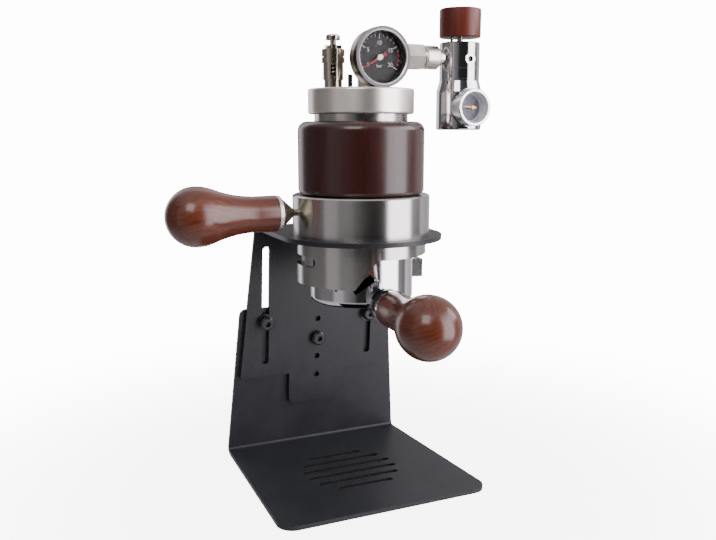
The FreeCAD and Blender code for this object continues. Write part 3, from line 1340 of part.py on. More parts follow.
def make_main_gauge():
    centre = FreeCAD.Vector(size("post_x"), -size("gauge_back"), size("gauge_z"))
    inside = "gauge_r - gauge_wall"
    stem = "gauge_back - port_start - port_spare"
    case = turned("gauge_case", [
        (stem, "0"), (stem, "gauge_stem_r"), ("0", "gauge_stem_r"),
        ("0", "gauge_r"), ("-gauge_deep", "gauge_r"), ("-gauge_deep", inside),
        ("-gauge_wall", inside), ("-gauge_wall", "0"),
    ], plane="YZ_Plane", axis="H_Axis")
    nut = new_sketch(case, "XZ_Plane")
    outline(nut, hexagon_corners("gauge_hex_across"))
    pad(case, nut, "gauge_hex_long", Reversed=True)
    socket = new_sketch(case, "XZ_Plane")
    shift(socket, z="gauge_wall / 2")
    outline(socket, [("-socket_half", "-socket_low"), ("socket_half", "-socket_low"),
                     ("socket_half", "-tube_r"), ("-socket_half", "-tube_r")])
    pad(case, socket, "socket_thick")
    rim = "gauge_r + dial_fit"
    front = "gauge_deep + bezel_lip"
    bezel = turned("gauge_bezel", [
        (f"bezel_long - ({front})", rim), (f"bezel_long - ({front})", "bezel_r"),
        (f"-({front})", "bezel_r"), (f"-({front})", "window_r"), ("-gauge_deep", "window_r"),
        ("-gauge_deep", rim),
    ], plane="YZ_Plane", axis="H_Axis")
    dress(bezel, "Chamfer", lambda edge: facing_ring(edge, "window_r", front), "bezel_lip / 2")
    plate = f"{inside} - dial_fit"
    lens = make_gauge_disc("gauge_lens", plate, "gauge_deep", "lens_thick")
    dial = make_gauge_disc("gauge_dial", plate, "dial_at", "dial_thick", "spindle_r + spindle_fit")
    for item in (case, bezel, lens, dial):
        stand_gauge(item, centre, 0)
    needle = make_needle("gauge_needle", "dial_at", "needle_gap", "needle_long", "needle_tail",
                         "needle_half", "needle_tail_half", "hub_r")
    stand_gauge(needle, centre, 0, size("needle_rest"))
    make_bourdon_tube(centre)


def facing_ring(edge, radius, front):
    """True for a circular edge round Y at a distance in front of a gauge's back."""
    curve = edge.Curve
    if not isinstance(curve, Part.Circle):
        return False
    return abs(curve.Radius - size(radius)) < HIDDEN_DEPTH and abs(curve.Center.y + size(front)) < HIDDEN_DEPTH


def make_bourdon_tube(centre):
    """The bent tube behind the dial, from its socket round to its free end."""
    tube = doc.addObject("Part::Torus", "gauge_tube")
    tube.setExpression("Radius1", formula("tube_ring_r"))
    tube.setExpression("Radius2", formula("tube_r"))
    tube.setExpression("Angle3", formula("tube_span"))
    depth = size("gauge_wall + tube_off + tube_r")
    upright = FreeCAD.Rotation(FreeCAD.Vector(1, 0, 0), 90)
    started = FreeCAD.Rotation(FreeCAD.Vector(0, 1, 0), -size("tube_start"))
    tube.Placement = FreeCAD.Placement(centre + FreeCAD.Vector(0, -depth, 0), started * upright)
    keep(tube)


def make_mini_gauge():
    turn = size("mini_turn")
    out = FreeCAD.Rotation(FreeCAD.Vector(0, 0, 1), turn).multVec(FreeCAD.Vector(0, -size("mini_back"), 0))
    centre = FreeCAD.Vector(size("reg_x"), 0, size("mini_z")) + out
    inside = "mini_r - mini_wall"
    seat = "mini_deep - mini_lip"
    case = turned("mini_gauge_case", [
        ("mini_stem_long", "0"), ("mini_stem_long", "mini_stem_r"), ("0", "mini_stem_r"),
        ("0", "mini_r"), ("-mini_deep", "mini_r"), ("-mini_deep", f"{inside} - mini_lip"),
        (f"-({seat})", f"{inside} - mini_lip"), (f"-({seat})", inside), ("-mini_wall", inside),
        ("-mini_wall", "0"),
    ], plane="YZ_Plane", axis="H_Axis")
    dress(case, "Fillet", lambda edge: facing_ring(edge, "mini_r", "mini_deep"), "mini_lip")
    plate = f"{inside} - dial_fit"
    lens = make_gauge_disc("mini_gauge_lens", plate, seat, "lens_thick")
    dial = make_gauge_disc("mini_gauge_dial", plate, "mini_dial_at", "dial_thick",
                           "spindle_r + spindle_fit")
    for item in (case, lens, dial):
        stand_gauge(item, centre, turn)
    needle = make_needle("mini_gauge_needle", "mini_dial_at", "mini_needle_gap", "mini_needle_long",
                         "mini_needle_tail", "mini_needle_half", "mini_needle_half", "mini_hub_r")
    stand_gauge(needle, centre, turn, size("mini_needle_rest"))


# ---------------------------------------------------------------- gas inlet

def along_inlet(name, corners):
    """A body turned round the gas inlet's axis from (distance, radius) corners."""
    return turned(name, corners, axis="H_Axis", up="inlet_z")


def hexagon_pad(body, start, length, across):
    sketch = new_sketch(body, "YZ_Plane")
    shift(sketch, y="inlet_z", z=start)
    outline(sketch, hexagon_corners(across))
    return pad(body, sketch, length)


def make_inlet_adapter():
    start = "post_x + post_r - adapter_in"
    end = "coupler_at + adapter_out"
    body = along_inlet("inlet_adapter", [
        (start, "0"), (start, "adapter_tail_r"), ("adapter_hex_at", "adapter_tail_r"),
        ("adapter_hex_at", "adapter_r"), ("coupler_at", "adapter_r"), ("coupler_at", "adapter_tail_r"),
        (end, "adapter_tail_r"), (end, "0"),
    ])
    hexagon_pad(body, "adapter_hex_at", "adapter_hex_long", "adapter_hex_across")
    bore_inlet(body, [(start, end, "adapter_bore_r")])
    return keep(body)


def bore_inlet(body, bores):
    """Drills bores along the gas inlet's axis, each from one distance to another."""
    for start, end, radius in bores:
        sketch = new_sketch(body, "XZ_Plane")
        shift(sketch, y="inlet_z")
        outline(sketch, [(start, "0"), (start, radius), (end, radius), (end, "0")])
        spin(body, sketch, "H_Axis", kind="Groove")


def make_coupler_body():
    shoulder = "coupler_at + coupler_hex_long"
    body = along_inlet("coupler_body", [
        ("coupler_at", "0"), ("coupler_at", "coupler_barrel_r"), ("coupler_end", "coupler_barrel_r"),
        ("coupler_end", "0"),
    ])
    hexagon_pad(body, "coupler_at", "coupler_hex_long", "coupler_hex_across")
    thread_end = "coupler_at + adapter_out + coupler_thread_spare"
    bore_inlet(body, [
        ("coupler_at", thread_end, "adapter_tail_r + thread_fit"),
        (thread_end, "coupler_bore_at", "adapter_bore_r"),
        ("coupler_bore_at", "coupler_end", "plug_r + plug_fit"),
    ])
    return keep(body)


def make_coupler_sleeve():
    bore = "coupler_barrel_r + sleeve_fit"
    return keep(along_inlet("coupler_sleeve", [
        ("sleeve_at", bore), ("sleeve_at", "sleeve_r - sleeve_edge"),
        ("sleeve_at + sleeve_edge", "sleeve_r"), ("sleeve_end - sleeve_nose", "sleeve_r"),
        ("sleeve_end", "sleeve_r - sleeve_nose"), ("sleeve_end", bore),
    ]))


def make_quick_plug():
    groove = "plug_r - plug_groove_deep"
    tail = "plug_flange_end + plug_tail_long"
    return keep(along_inlet("quick_plug", [
        ("plug_tip", "plug_bore_r"), ("plug_tip", "plug_r - plug_chamfer"),
        ("plug_tip + plug_chamfer", "plug_r"), ("plug_groove_at", "plug_r"),
        ("plug_groove_at", groove), ("plug_groove_at + plug_groove_long", groove),
        ("plug_groove_at + plug_groove_long", "plug_r"), ("plug_flange_at", "plug_r"),
        ("plug_flange_at", "plug_flange_r"), ("plug_flange_end", "plug_flange_r"),
        ("plug_flange_end", "plug_tail_r"), (tail, "plug_tail_r"), (tail, "plug_bore_r"),
    ]))


# ---------------------------------------------------------------- regulator

def line_groove(height, wide, deep_r):
    """The corners of one shallow turned line in a wall of a given radius, going up."""
    return [(wide, f"{height} - line_half"), (deep_r, height), (wide, f"{height} + line_half")]


def make_regulator_body():
    body = turned("regulator_body", [
        ("gas_bore_r", "spigot_low"), ("spigot_r", "spigot_low"), ("spigot_r", "seam_z"),
        ("skirt_r", "seam_z"), ("skirt_r", "flare_low"), ("reg_r", "flare_top"),
        *line_groove("line_two", "reg_r", "reg_r - line_deep"),
        *line_groove("line_one", "reg_r", "reg_r - line_deep"),
        ("reg_r", "reg_top"), ("shaft_r + shaft_fit", "reg_top"), ("shaft_r + shaft_fit", "spring_high"),
        ("spring_room_r", "spring_high"), ("spring_room_r", "spring_low"), ("gas_bore_r", "spring_low"),
    ])
    dress(body, "Chamfer", is_ring("reg_r", "reg_top"), "reg_edge")
    sector_cut(body, "knob_pin_at + knob_pin_margin + knob_land - 360", "360 - knob_land",
               "reg_top - knob_groove_deep", "reg_top + knob_groove_deep",
               "knob_groove_r - knob_groove_half", "knob_groove_r + knob_groove_half")
    inlet = radial_sketch(body, "180", "reg_x - plug_flange_end - plug_tail_long - plug_fit")
    circle(inlet, "0", "inlet_z", "plug_tail_r + plug_fit")
    cut(body, inlet, "reg_r", Reversed=True)
    spot = radial_sketch(body, "-90", "plug_port_face")
    circle(spot, "0", "plug_port_z", "plug_port_head_r + plug_fit")
    cut(body, spot, "reg_r", Reversed=True)
    port = radial_sketch(body, "-90", "plug_port_face - plug_port_in - plug_fit")
    circle(port, "0", "plug_port_z", "plug_port_r + plug_fit")
    cut(body, port, "reg_r", Reversed=True)
    recess_for_mini_gauge(body)
    place(body, "reg_x")
    return keep(body)


def recess_for_mini_gauge(body):
    """The round recess that the small gauge sits in, and the hole for its stem."""
    recess = radial_sketch(body, "mini_turn - 90", "mini_back - mini_pocket_gap")
    circle(recess, "0", "mini_z", "mini_r + mini_pocket_fit")
    cut(body, recess, "skirt_r", Reversed=True)
    stem = radial_sketch(body, "mini_turn - 90", "mini_back - mini_stem_long - mini_pocket_gap")
    circle(stem, "0", "mini_z", "mini_stem_r + thread_fit")
    cut(body, stem, "skirt_r", Reversed=True)


def make_cartridge_holder():
    top = "seam_z - seam_gap"
    floor = "spigot_low - seam_gap"
    bore = "spigot_r + thread_fit"
    recess = "seal_disc_r + thread_fit"
    seat = "spigot_low - seal_thick"
    body = turned("cartridge_holder", [
        ("cartridge_r", "holder_low"), ("skirt_r", "holder_low"), ("skirt_r", top), (bore, top),
        (bore, floor), (recess, floor), (recess, seat), ("cartridge_r", seat),
    ])
    dress(body, "Chamfer", is_ring("skirt_r", "holder_low"), "holder_edge")
    recess_for_mini_gauge(body)
    place(body, "reg_x")
    return keep(body)


def make_regulator_insides():
    seal = turned("cartridge_seal", [
        ("seal_hole_r", "spigot_low - seal_thick"), ("seal_disc_r", "spigot_low - seal_thick"),
        ("seal_disc_r", "spigot_low"), ("seal_hole_r", "spigot_low"),
    ])
    piercer_r = "gas_bore_r - piercer_fit"
    piercer = turned("piercing_pin", [
        ("0", "piercer_tip"), ("piercer_tip_r", "piercer_tip"),
        (piercer_r, "piercer_tip + piercer_cone"), (piercer_r, "piercer_top"), ("0", "piercer_top"),
    ])
    piston_r = "spring_room_r - piston_fit"
    piston_low = "spring_low + screw_fit"
    piston_top = f"{piston_low} + piston_thick"
    piston = turned("regulator_piston", [
        ("0", "piston_stem_low"), ("piston_stem_r", "piston_stem_low"), ("piston_stem_r", piston_low),
        (piston_r, piston_low), (piston_r, piston_top), ("0", piston_top),
    ])
    button_top = "spring_high - button_play"
    button_low = f"{button_top} - button_thick"
    button = turned("spring_button", [
        ("0", button_low), (piston_r, button_low), (piston_r, button_top), ("0", button_top),
    ])
    spring = make_spring("regulator_spring", piston_top, button_low, "reg_coil_r", "reg_wire_r",
                         "reg_coil_pitch")
    for item in (seal, piercer, piston, button, spring):
        place(item, "reg_x")
        keep(item)


def make_port_plug():
    thread_end = "plug_port_in - plug_port_face"
    head = "plug_port_face + plug_port_out"
    socket = f"plug_port_socket_deep - ({head})"
    body = turned("port_plug", [
        (thread_end, "0"), (thread_end, "plug_port_r"), ("-plug_port_face", "plug_port_r"),
        ("-plug_port_face", "plug_port_head_r"), (f"-({head})", "plug_port_head_r"),
        (f"-({head})", "plug_port_socket_r"), (socket, "plug_port_socket_r"), (socket, "0"),
    ], plane="YZ_Plane", axis="H_Axis", up="plug_port_z")
    place(body, "reg_x")
    return keep(body)


def make_knob():
    button_top = "spring_high - button_play"
    spindle = turned("knob_spindle", [
        ("0", button_top), ("shaft_r", button_top), ("shaft_r", "shaft_top"), ("0", "shaft_top"),
    ])
    bore = "shaft_r + knob_fit"
    knob = turned("regulator_knob", [
        (bore, "knob_low"), ("knob_r", "knob_low"), ("knob_r", "knob_top"), ("0", "knob_top"),
        ("0", "shaft_top + knob_fit"), (bore, "shaft_top + knob_fit"),
    ])
    dress(knob, "Fillet", is_ring("knob_r", "knob_top"), "knob_round")
    dress(knob, "Fillet", is_ring("knob_r", "knob_low"), "knob_round")
    across = "knob_groove_r * cos(knob_pin_at)"
    along = "knob_groove_r * sin(knob_pin_at)"
    hole = new_sketch(knob, "XY_Plane")
    shift(hole, z="knob_low")
    circle(hole, across, along, "stop_pin_r + knob_fit")
    cut(knob, hole, "stop_pin_top - knob_low + knob_fit", Reversed=True)
    stop = turned("knob_pin", [
        ("0", "stop_pin_low"), ("stop_pin_r", "stop_pin_low"), ("stop_pin_r", "stop_pin_top"),
        ("0", "stop_pin_top"),
    ])
    for item in (spindle, knob):
        place(item, "reg_x")
        keep(item)
    place(stop, f"reg_x + {across}", along)
    keep(stop)


# ---------------------------------------------------------------- build and export

def check(item):
    """Stops the build if any object failed or any sub-part's shape isn't sound."""
    bad = [part.Name for part in doc.Objects if "Invalid" in part.State or "Error" in part.State]
    if bad:
        raise RuntimeError("failed objects: " + ", ".join(bad))
    if item.Shape.isNull() or not item.Shape.isValid():
        raise RuntimeError("unsound shape: " + item.Label)


def build():
    fill_sheet()
    for make in (make_base_bracket, make_height_slider, make_side_screws, make_side_washers,
                 make_side_nuts, make_lock_screw, make_group_body, make_water_chamber,
                 make_chamber_seal, make_wood_sleeve, make_group_gasket, make_shower_screen,
                 make_screen_screw, make_side_handle, make_portafilter_body,
                 make_portafilter_handle, make_filter_basket, make_basket_clip, make_lid,
                 make_lid_seal, make_lid_pin, make_gauge_post, make_relief_valve,
                 make_main_gauge, make_inlet_adapter, make_coupler_body, make_coupler_sleeve,
                 make_quick_plug, make_regulator_body, make_cartridge_holder,
                 make_regulator_insides, make_port_plug, make_knob, make_mini_gauge):
        make()
    doc.recompute()


def export():
    os.makedirs("parts", exist_ok=True)
    for item in nodes:
        check(item)
    for item in nodes:
        item.Shape.exportStep(f"parts/{item.Label}.step")
    print(f"{len(nodes)} sub-parts, {sum(len(item.Shape.Solids) for item in nodes)} solids")


build()
export()
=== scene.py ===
"""Finishes for a handheld espresso maker: woods, metals, dials and the studio it stands in."""

import math

import bpy
import numpy as np
from mathutils import Euler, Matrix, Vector


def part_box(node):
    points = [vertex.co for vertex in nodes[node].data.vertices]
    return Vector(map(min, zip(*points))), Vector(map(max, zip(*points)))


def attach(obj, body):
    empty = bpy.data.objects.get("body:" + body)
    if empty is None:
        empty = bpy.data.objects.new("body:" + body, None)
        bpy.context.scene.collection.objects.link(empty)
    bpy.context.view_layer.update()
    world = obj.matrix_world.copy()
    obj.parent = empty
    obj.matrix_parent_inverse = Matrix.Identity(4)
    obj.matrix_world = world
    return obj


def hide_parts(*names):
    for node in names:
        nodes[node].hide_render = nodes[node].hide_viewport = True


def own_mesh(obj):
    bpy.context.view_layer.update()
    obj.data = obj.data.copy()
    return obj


bl_info = {
    "name": "Espresso Maker Finishes",
    "version": (1, 0, 0),
    "blender": (4, 5, 0),
    "location": "View3D > Sidebar > Espresso",
    "description": "Turned woods, brushed and polished metals, printed dials and studio",
    "category": "Object",
}

MM = 0.001
TAU = 2 * math.pi
UP = (0.0, 0.0, 1.0)
GAUGE_AXIS = (0.0, 1.0, 0.0)

# Times a place, these drop the part of it that runs along an axis
OFF_STANDING_AXIS = (1, 1, 0)
OFF_GAUGE_AXIS = (1, 0, 1)
OFF_SIDE_AXIS = (0, 1, 1)

GRAIN_UPRIGHT = (0, math.radians(90), 0)  # turn that stands a wood's grain on end

WHITE = 14.0  # emission that the view shows as plain white
BLACK = (0.004, 0.004, 0.004)
LETTER_WHITE = (0.85, 0.85, 0.83)
CAMERA_AZIMUTH = -114.5  # degrees, direction of the camera as the lights take it

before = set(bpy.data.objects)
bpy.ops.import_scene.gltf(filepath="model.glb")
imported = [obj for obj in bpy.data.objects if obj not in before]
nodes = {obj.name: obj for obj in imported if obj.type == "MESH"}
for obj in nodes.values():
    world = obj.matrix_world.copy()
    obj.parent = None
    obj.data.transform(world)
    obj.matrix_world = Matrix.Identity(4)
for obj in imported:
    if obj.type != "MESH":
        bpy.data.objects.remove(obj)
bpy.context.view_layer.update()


# ---------------------------------------------------------------- shader helpers

def new_material(name, **sockets):
    """A principled material; a keyword names a socket with _ for a space."""
    material = bpy.data.materials.new(name)
    material.use_nodes = True
    shader = material.node_tree.nodes["Principled BSDF"]
    for key, value in sockets.items():
        shader.inputs[key.replace("_", " ")].default_value = value
    return material


def add(tree, kind, inputs=None, **settings):
    """A shader node; an input given as a socket is linked, any other value is set."""
    item = tree.nodes.new("ShaderNode" + kind)
    for key, value in settings.items():
        setattr(item, key, value)
    for key, value in (inputs or {}).items():
        socket = item.inputs[key]
        if isinstance(value, bpy.types.NodeSocket):
            tree.links.new(value, socket)
        else:
            socket.default_value = value
    return item


def feed(material, socket, source):
    """Links a source to a socket of the material's principled shader."""
    shader = material.node_tree.nodes["Principled BSDF"]
    material.node_tree.links.new(source, shader.inputs[socket])


def maths(tree, operation, *values):
    """Result of a Math node."""
    return add(tree, "Math", dict(enumerate(values)), operation=operation).outputs[0]


def vectors(tree, operation, *values):
    """Vector that a Vector Math node gives."""
    return add(tree, "VectorMath", dict(enumerate(values)), operation=operation).outputs[0]


def measure(tree, operation, *values):
    """Number that a Vector Math node gives."""
    item = add(tree, "VectorMath", dict(enumerate(values)), operation=operation)
    return item.outputs["Value"]


def scaled(tree, colour, factor):
    """A colour times a factor."""
    return add(tree, "VectorMath", {0: colour, "Scale": factor}, operation="SCALE").outputs[0]


def place(tree, centre=None):
    """Object coordinates, measured from a centre where one is given."""
    where = add(tree, "TexCoord").outputs["Object"]
    return where if centre is None else vectors(tree, "SUBTRACT", where, centre)


def noise(tree, where, scale, detail, **inputs):
    """Value of a noise texture."""
    inputs.update({"Vector": where, "Scale": scale, "Detail": detail})
    return add(tree, "TexNoise", inputs).outputs["Fac"]


def carry(tree, value, low, high, start, end):
    """Carries a value from between low and high to between start and end."""
    item = add(tree, "MapRange", {"Value": value, "From Min": low, "From Max": high,
                                  "To Min": start, "To Max": end})
    return item.outputs["Result"]


def between(tree, value, low, high):
    """1 where a value lies between two limits, and 0 elsewhere."""
    return maths(tree, "MULTIPLY", maths(tree, "GREATER_THAN", value, low),
                 maths(tree, "LESS_THAN", value, high))


def ramp(tree, factor, stops):
    """A straight colour ramp through stops of a position and a colour."""
    item = add(tree, "ValToRGB", {"Fac": factor})
    elements = item.color_ramp.elements
    while len(elements) < len(stops):
        elements.new(0.5)
    for element, (position, colour) in zip(elements, stops):
        element.position = position
        element.color = (*colour, 1)
    return item.outputs["Color"]


def blend(tree, factor, first, second, mode="MIX"):
    """Mixes a second colour into a first one."""
    item = add(tree, "Mix", data_type="RGBA", blend_type=mode)
    for index, value in ((0, factor), (6, first), (7, second)):
        if isinstance(value, bpy.types.NodeSocket):
            tree.links.new(value, item.inputs[index])
        elif index:
            item.inputs[index].default_value = (*value, 1)
        else:
            item.inputs[index].default_value = value
    return item.outputs[2]


def bump(material, height, depth, strength=1.0):
    """Bump of a height field whose full range is a depth in metres."""
    tree = material.node_tree
    item = add(tree, "Bump", {"Height": height, "Distance": depth, "Strength": strength})
    feed(material, "Normal", item.outputs["Normal"])


# ---------------------------------------------------------------- finishes

def wood_finish(name, centre, turn, tones, figure, gloss, coat):
    """Lacquered wood whose grain runs along the turned X axis.

    Growth rings are a wave round an axis set beside the piece, bent by low noise; dark
    veins and short pores are noise stretched along the grain. figure is how far they show.
    """
    material = new_material(name, Roughness=gloss, Coat_Weight=coat, Coat_Roughness=0.16,
                            Specular_IOR_Level=0.4)
    tree = material.node_tree
    grain = add(tree, "VectorRotate", {"Vector": place(tree, centre), "Rotation": turn},
                rotation_type="EULER_XYZ").outputs[0]
    slow = vectors(tree, "MULTIPLY", grain, (0.22, 1, 1))
    drift = add(tree, "TexNoise", {"Vector": slow, "Scale": 55, "Detail": 3, "Roughness": 0.5})
    beside = vectors(tree, "ADD", slow, (0.0, 0.014, -0.03))
    bent = vectors(tree, "MULTIPLY_ADD", drift.outputs["Color"], (0.014,) * 3, beside)
    rings = add(tree, "TexWave", {"Vector": bent, "Scale": 105, "Distortion": 2.2, "Detail": 3,
                                  "Detail Scale": 2.0}, wave_type="RINGS", rings_direction="X")
    fine = vectors(tree, "MULTIPLY", grain, (0.05, 1, 1))
    veins = noise(tree, fine, 520, 4, Roughness=0.6)
    pores = noise(tree, fine, 1700, 1)
    clear = (1.0, 1.0, 1.0)
    dark, middle, light = tones
    base = ramp(tree, rings.outputs["Fac"],
                [(0.0, dark), (0.35, middle), (0.8, light), (1.0, middle)])
    figured = blend(tree, figure, middle, base)
    cloud = ramp(tree, drift.outputs["Fac"], [(0.34, (0.62, 0.55, 0.52)), (0.64, clear)])
    shaded = blend(tree, 0.8, figured, cloud, "MULTIPLY")
    streak = ramp(tree, veins, [(0.36, (0.5, 0.44, 0.42)), (0.56, clear)])
    grained = blend(tree, 0.25 + 0.4 * figure, shaded, streak, "MULTIPLY")
    specks = ramp(tree, pores, [(0.3, (0.5, 0.46, 0.46)), (0.42, clear)])
    feed(material, "Base Color", blend(tree, 0.5, grained, specks, "MULTIPLY"))
    feed(material, "Roughness", carry(tree, veins, 0.3, 0.7, gloss + 0.06, gloss - 0.04))
    bump(material, pores, 0.00004, 0.25)
    return material


def turned_metal(name, colour, roughness, lines, spread, centre=(0, 0, 0), axis=UP):
    """Metal turned on a lathe: fine rings across the axis that draw reflections out along it.

    The rings are noise over one number, the height along the axis plus the radius, so they
    run round both a wall and a face. lines is how far they show, spread how far they draw.
    """
    material = new_material(name, Metallic=1.0, Roughness=roughness, Anisotropic=spread,
                            Anisotropic_Rotation=0.25)
    tree = material.node_tree
    out = place(tree, centre)
    around = vectors(tree, "CROSS_PRODUCT", axis, out)
    tangent = add(tree, "VectorTransform", {"Vector": around}, vector_type="VECTOR",
                  convert_from="OBJECT", convert_to="WORLD").outputs[0]
    feed(material, "Tangent", tangent)
    level = maths(tree, "ADD", measure(tree, "DOT_PRODUCT", out, axis),
                  measure(tree, "LENGTH", around))
    coarse = add(tree, "TexNoise", {"W": level, "Scale": 1800, "Detail": 3}, noise_dimensions="1D")
    fine = add(tree, "TexNoise", {"W": level, "Scale": 7000, "Detail": 2}, noise_dimensions="1D")
    rings = maths(tree, "ADD", coarse.outputs["Fac"], fine.outputs["Fac"])
    smudge = noise(tree, place(tree), 38, 4, Roughness=0.6)
    tone = maths(tree, "MULTIPLY", carry(tree, rings, 0.6, 1.4, 1.0 - 0.22 * lines, 1.0),
                 carry(tree, smudge, 0.3, 0.7, 0.94, 1.0))
    feed(material, "Base Color", scaled(tree, colour, tone))
    feed(material, "Roughness", carry(tree, rings, 0.6, 1.4, roughness * (1 + 0.35 * lines),
                                      roughness * 0.9))
    bump(material, rings, 0.000003 * lines)
    return material


def polished_metal(name, colour, roughness, ripple=0.5):
    """Plated metal: faint buffing ripple, finger marks and a trace of dust in its gloss."""
    material = new_material(name, Metallic=1.0, Roughness=roughness)
    tree = material.node_tree
    where = place(tree)
    marks = noise(tree, where, 90, 5, Roughness=0.65)
    feed(material, "Roughness", carry(tree, marks, 0.35, 0.7, roughness * 0.7, roughness * 1.7))
    feed(material, "Base Color", scaled(tree, colour, carry(tree, marks, 0.3, 0.75, 1.0, 0.9)))
    bump(material, noise(tree, where, 22, 2), 0.00012 * ripple, 0.5)
    return material


def knurled_metal(name, colour, roughness, centre, turns=44, pitch=0.0009):
    """Plated metal knurled round an axis along X.

    Two sets of ridges cross: each is the size of the sine of half of turns times the angle,
    plus or minus a turn per pitch along the axis, and the lower of the two counts.
    """
    material = polished_metal(name, colour, roughness, ripple=0.2)
    tree = material.node_tree
    parts = add(tree, "SeparateXYZ", {0: place(tree, centre)}).outputs
    angle = maths(tree, "ARCTAN2", parts["Z"], parts["Y"])
    along = maths(tree, "DIVIDE", parts["X"], pitch)
    ridges = []
    for sign in (1, -1):
        wave = maths(tree, "MULTIPLY_ADD", angle, turns, maths(tree, "MULTIPLY", along, sign * TAU))
        sine = maths(tree, "SINE", maths(tree, "MULTIPLY", wave, 0.5))
        ridges.append(maths(tree, "ABSOLUTE", sine))
    bump(material, maths(tree, "MINIMUM", *ridges), 0.0001, 0.3)
    return material


def powder_coat(name, colour, roughness):
    """Baked powder on sheet steel: a fine orange-peel bump and rubbed, slightly shinier spots."""
    material = new_material(name, Roughness=roughness, Specular_IOR_Level=0.4)
    tree = material.node_tree
    where = place(tree)
    worn = noise(tree, where, 30, 5, Roughness=0.7)
    tint = ramp(tree, worn, [(0.3, tuple(0.8 * c for c in colour)),
                             (0.75, tuple(1.3 * c for c in colour))])
    feed(material, "Base Color", tint)
    feed(material, "Roughness", carry(tree, worn, 0.3, 0.7, roughness - 0.05, roughness + 0.07))
    bump(material, noise(tree, where, 1400, 2), 0.00006, 0.6)
    return material


def enamel(name, colour, roughness):
    """Smooth paint or moulded plastic with a barely uneven skin."""
    material = new_material(name, Roughness=roughness)
    tree = material.node_tree
    skin = noise(tree, place(tree), 700, 3)
    feed(material, "Base Color",
         ramp(tree, skin, [(0.2, tuple(0.9 * c for c in colour)), (0.8, colour)]))
    bump(material, skin, 0.00002, 0.4)
    return material


def printed_dial(name, ground, centre, first, sweep, marks, arcs, size):
    """A painted dial with its marks printed by angle and distance from its centre.

    The share t runs clockwise from 0 at the angle first to 1 after a sweep. A set of marks
    (count, low, high, half) has count gaps along the scale, from radius low to high, each mark
    half wide to either side; an arc (from, to, low, high, colour) fills that share and band.
    Lengths are in shares of size.
    """
    material = new_material(name, Roughness=0.45)
    tree = material.node_tree
    parts = add(tree, "SeparateXYZ", {0: place(tree, centre)}).outputs
    flat = add(tree, "CombineXYZ", {"X": parts["X"], "Y": parts["Z"]}).outputs[0]
    radius = maths(tree, "DIVIDE", measure(tree, "LENGTH", flat), size)
    angle = maths(tree, "ARCTAN2", parts["Z"], parts["X"])
    early = 0.1  # the turn is counted from this angle before the scale, so its first mark is whole
    behind = maths(tree, "SUBTRACT", first + early, angle)
    share = maths(tree, "FRACT", maths(tree, "ADD", maths(tree, "DIVIDE", behind, TAU), 1.0))
    t = maths(tree, "MULTIPLY_ADD", share, TAU / sweep, -early / sweep)
    paper = noise(tree, place(tree), 900, 3)
    colour = ramp(tree, paper, [(0.25, tuple(0.85 * c for c in ground)), (0.75, ground)])
    for start, end, low, high, tint in arcs:
        mask = maths(tree, "MULTIPLY", between(tree, t, start, end),
                     between(tree, radius, low, high))
        colour = blend(tree, mask, colour, tint)
    for count, low, high, half in marks:
        steps = maths(tree, "MULTIPLY", t, count)
        off = maths(tree, "ABSOLUTE", maths(tree, "SUBTRACT", steps, maths(tree, "ROUND", steps)))
        beside = maths(tree, "MULTIPLY", maths(tree, "MULTIPLY", off, sweep / count), radius)
        mask = maths(tree, "MULTIPLY", maths(tree, "LESS_THAN", beside, half),
                     between(tree, radius, low, high))
        mask = maths(tree, "MULTIPLY", mask, between(tree, t, -half, 1 + half))
        colour = blend(tree, mask, colour, LETTER_WHITE)
    feed(material, "Base Color", colour)
    return material


def paint_ring(material, centre, low, high, colour, off_axis=OFF_GAUGE_AXIS, metallic=None,
               beyond=None):
    """Gives a finish a second colour between two distances from an axis through a centre.

    beyond, a direction and a limit, keeps the paint to places that reach further than the
    limit along the direction. metallic is that of the paint, where the finish has the other.
    """
    tree = material.node_tree
    bare = tree.nodes["Principled BSDF"].inputs["Base Color"].links[0].from_socket
    flat = vectors(tree, "MULTIPLY", place(tree, centre), off_axis)
    mask = between(tree, measure(tree, "LENGTH", flat), low, high)
    if beyond is not None:
        direction, limit = beyond
        reach = measure(tree, "DOT_PRODUCT", place(tree), direction)
        mask = maths(tree, "MULTIPLY", mask, maths(tree, "GREATER_THAN", reach, limit))
    feed(material, "Base Color", blend(tree, mask, bare, colour))
    if metallic is not None:
        feed(material, "Metallic", mask if metallic else maths(tree, "SUBTRACT", 1.0, mask))


def clear_lens(name):
    """A flat window: nearly see-through, with its own gloss and a little dust."""
    material = new_material(name, Base_Color=(0.003, 0.003, 0.004, 1), Roughness=0.03, Alpha=0.1,
                            Specular_IOR_Level=0.12)
    tree = material.node_tree
    dust = noise(tree, place(tree), 500, 4)
    feed(material, "Roughness", carry(tree, dust, 0.4, 0.8, 0.02, 0.12))
    return material


# ---------------------------------------------------------------- surface helpers

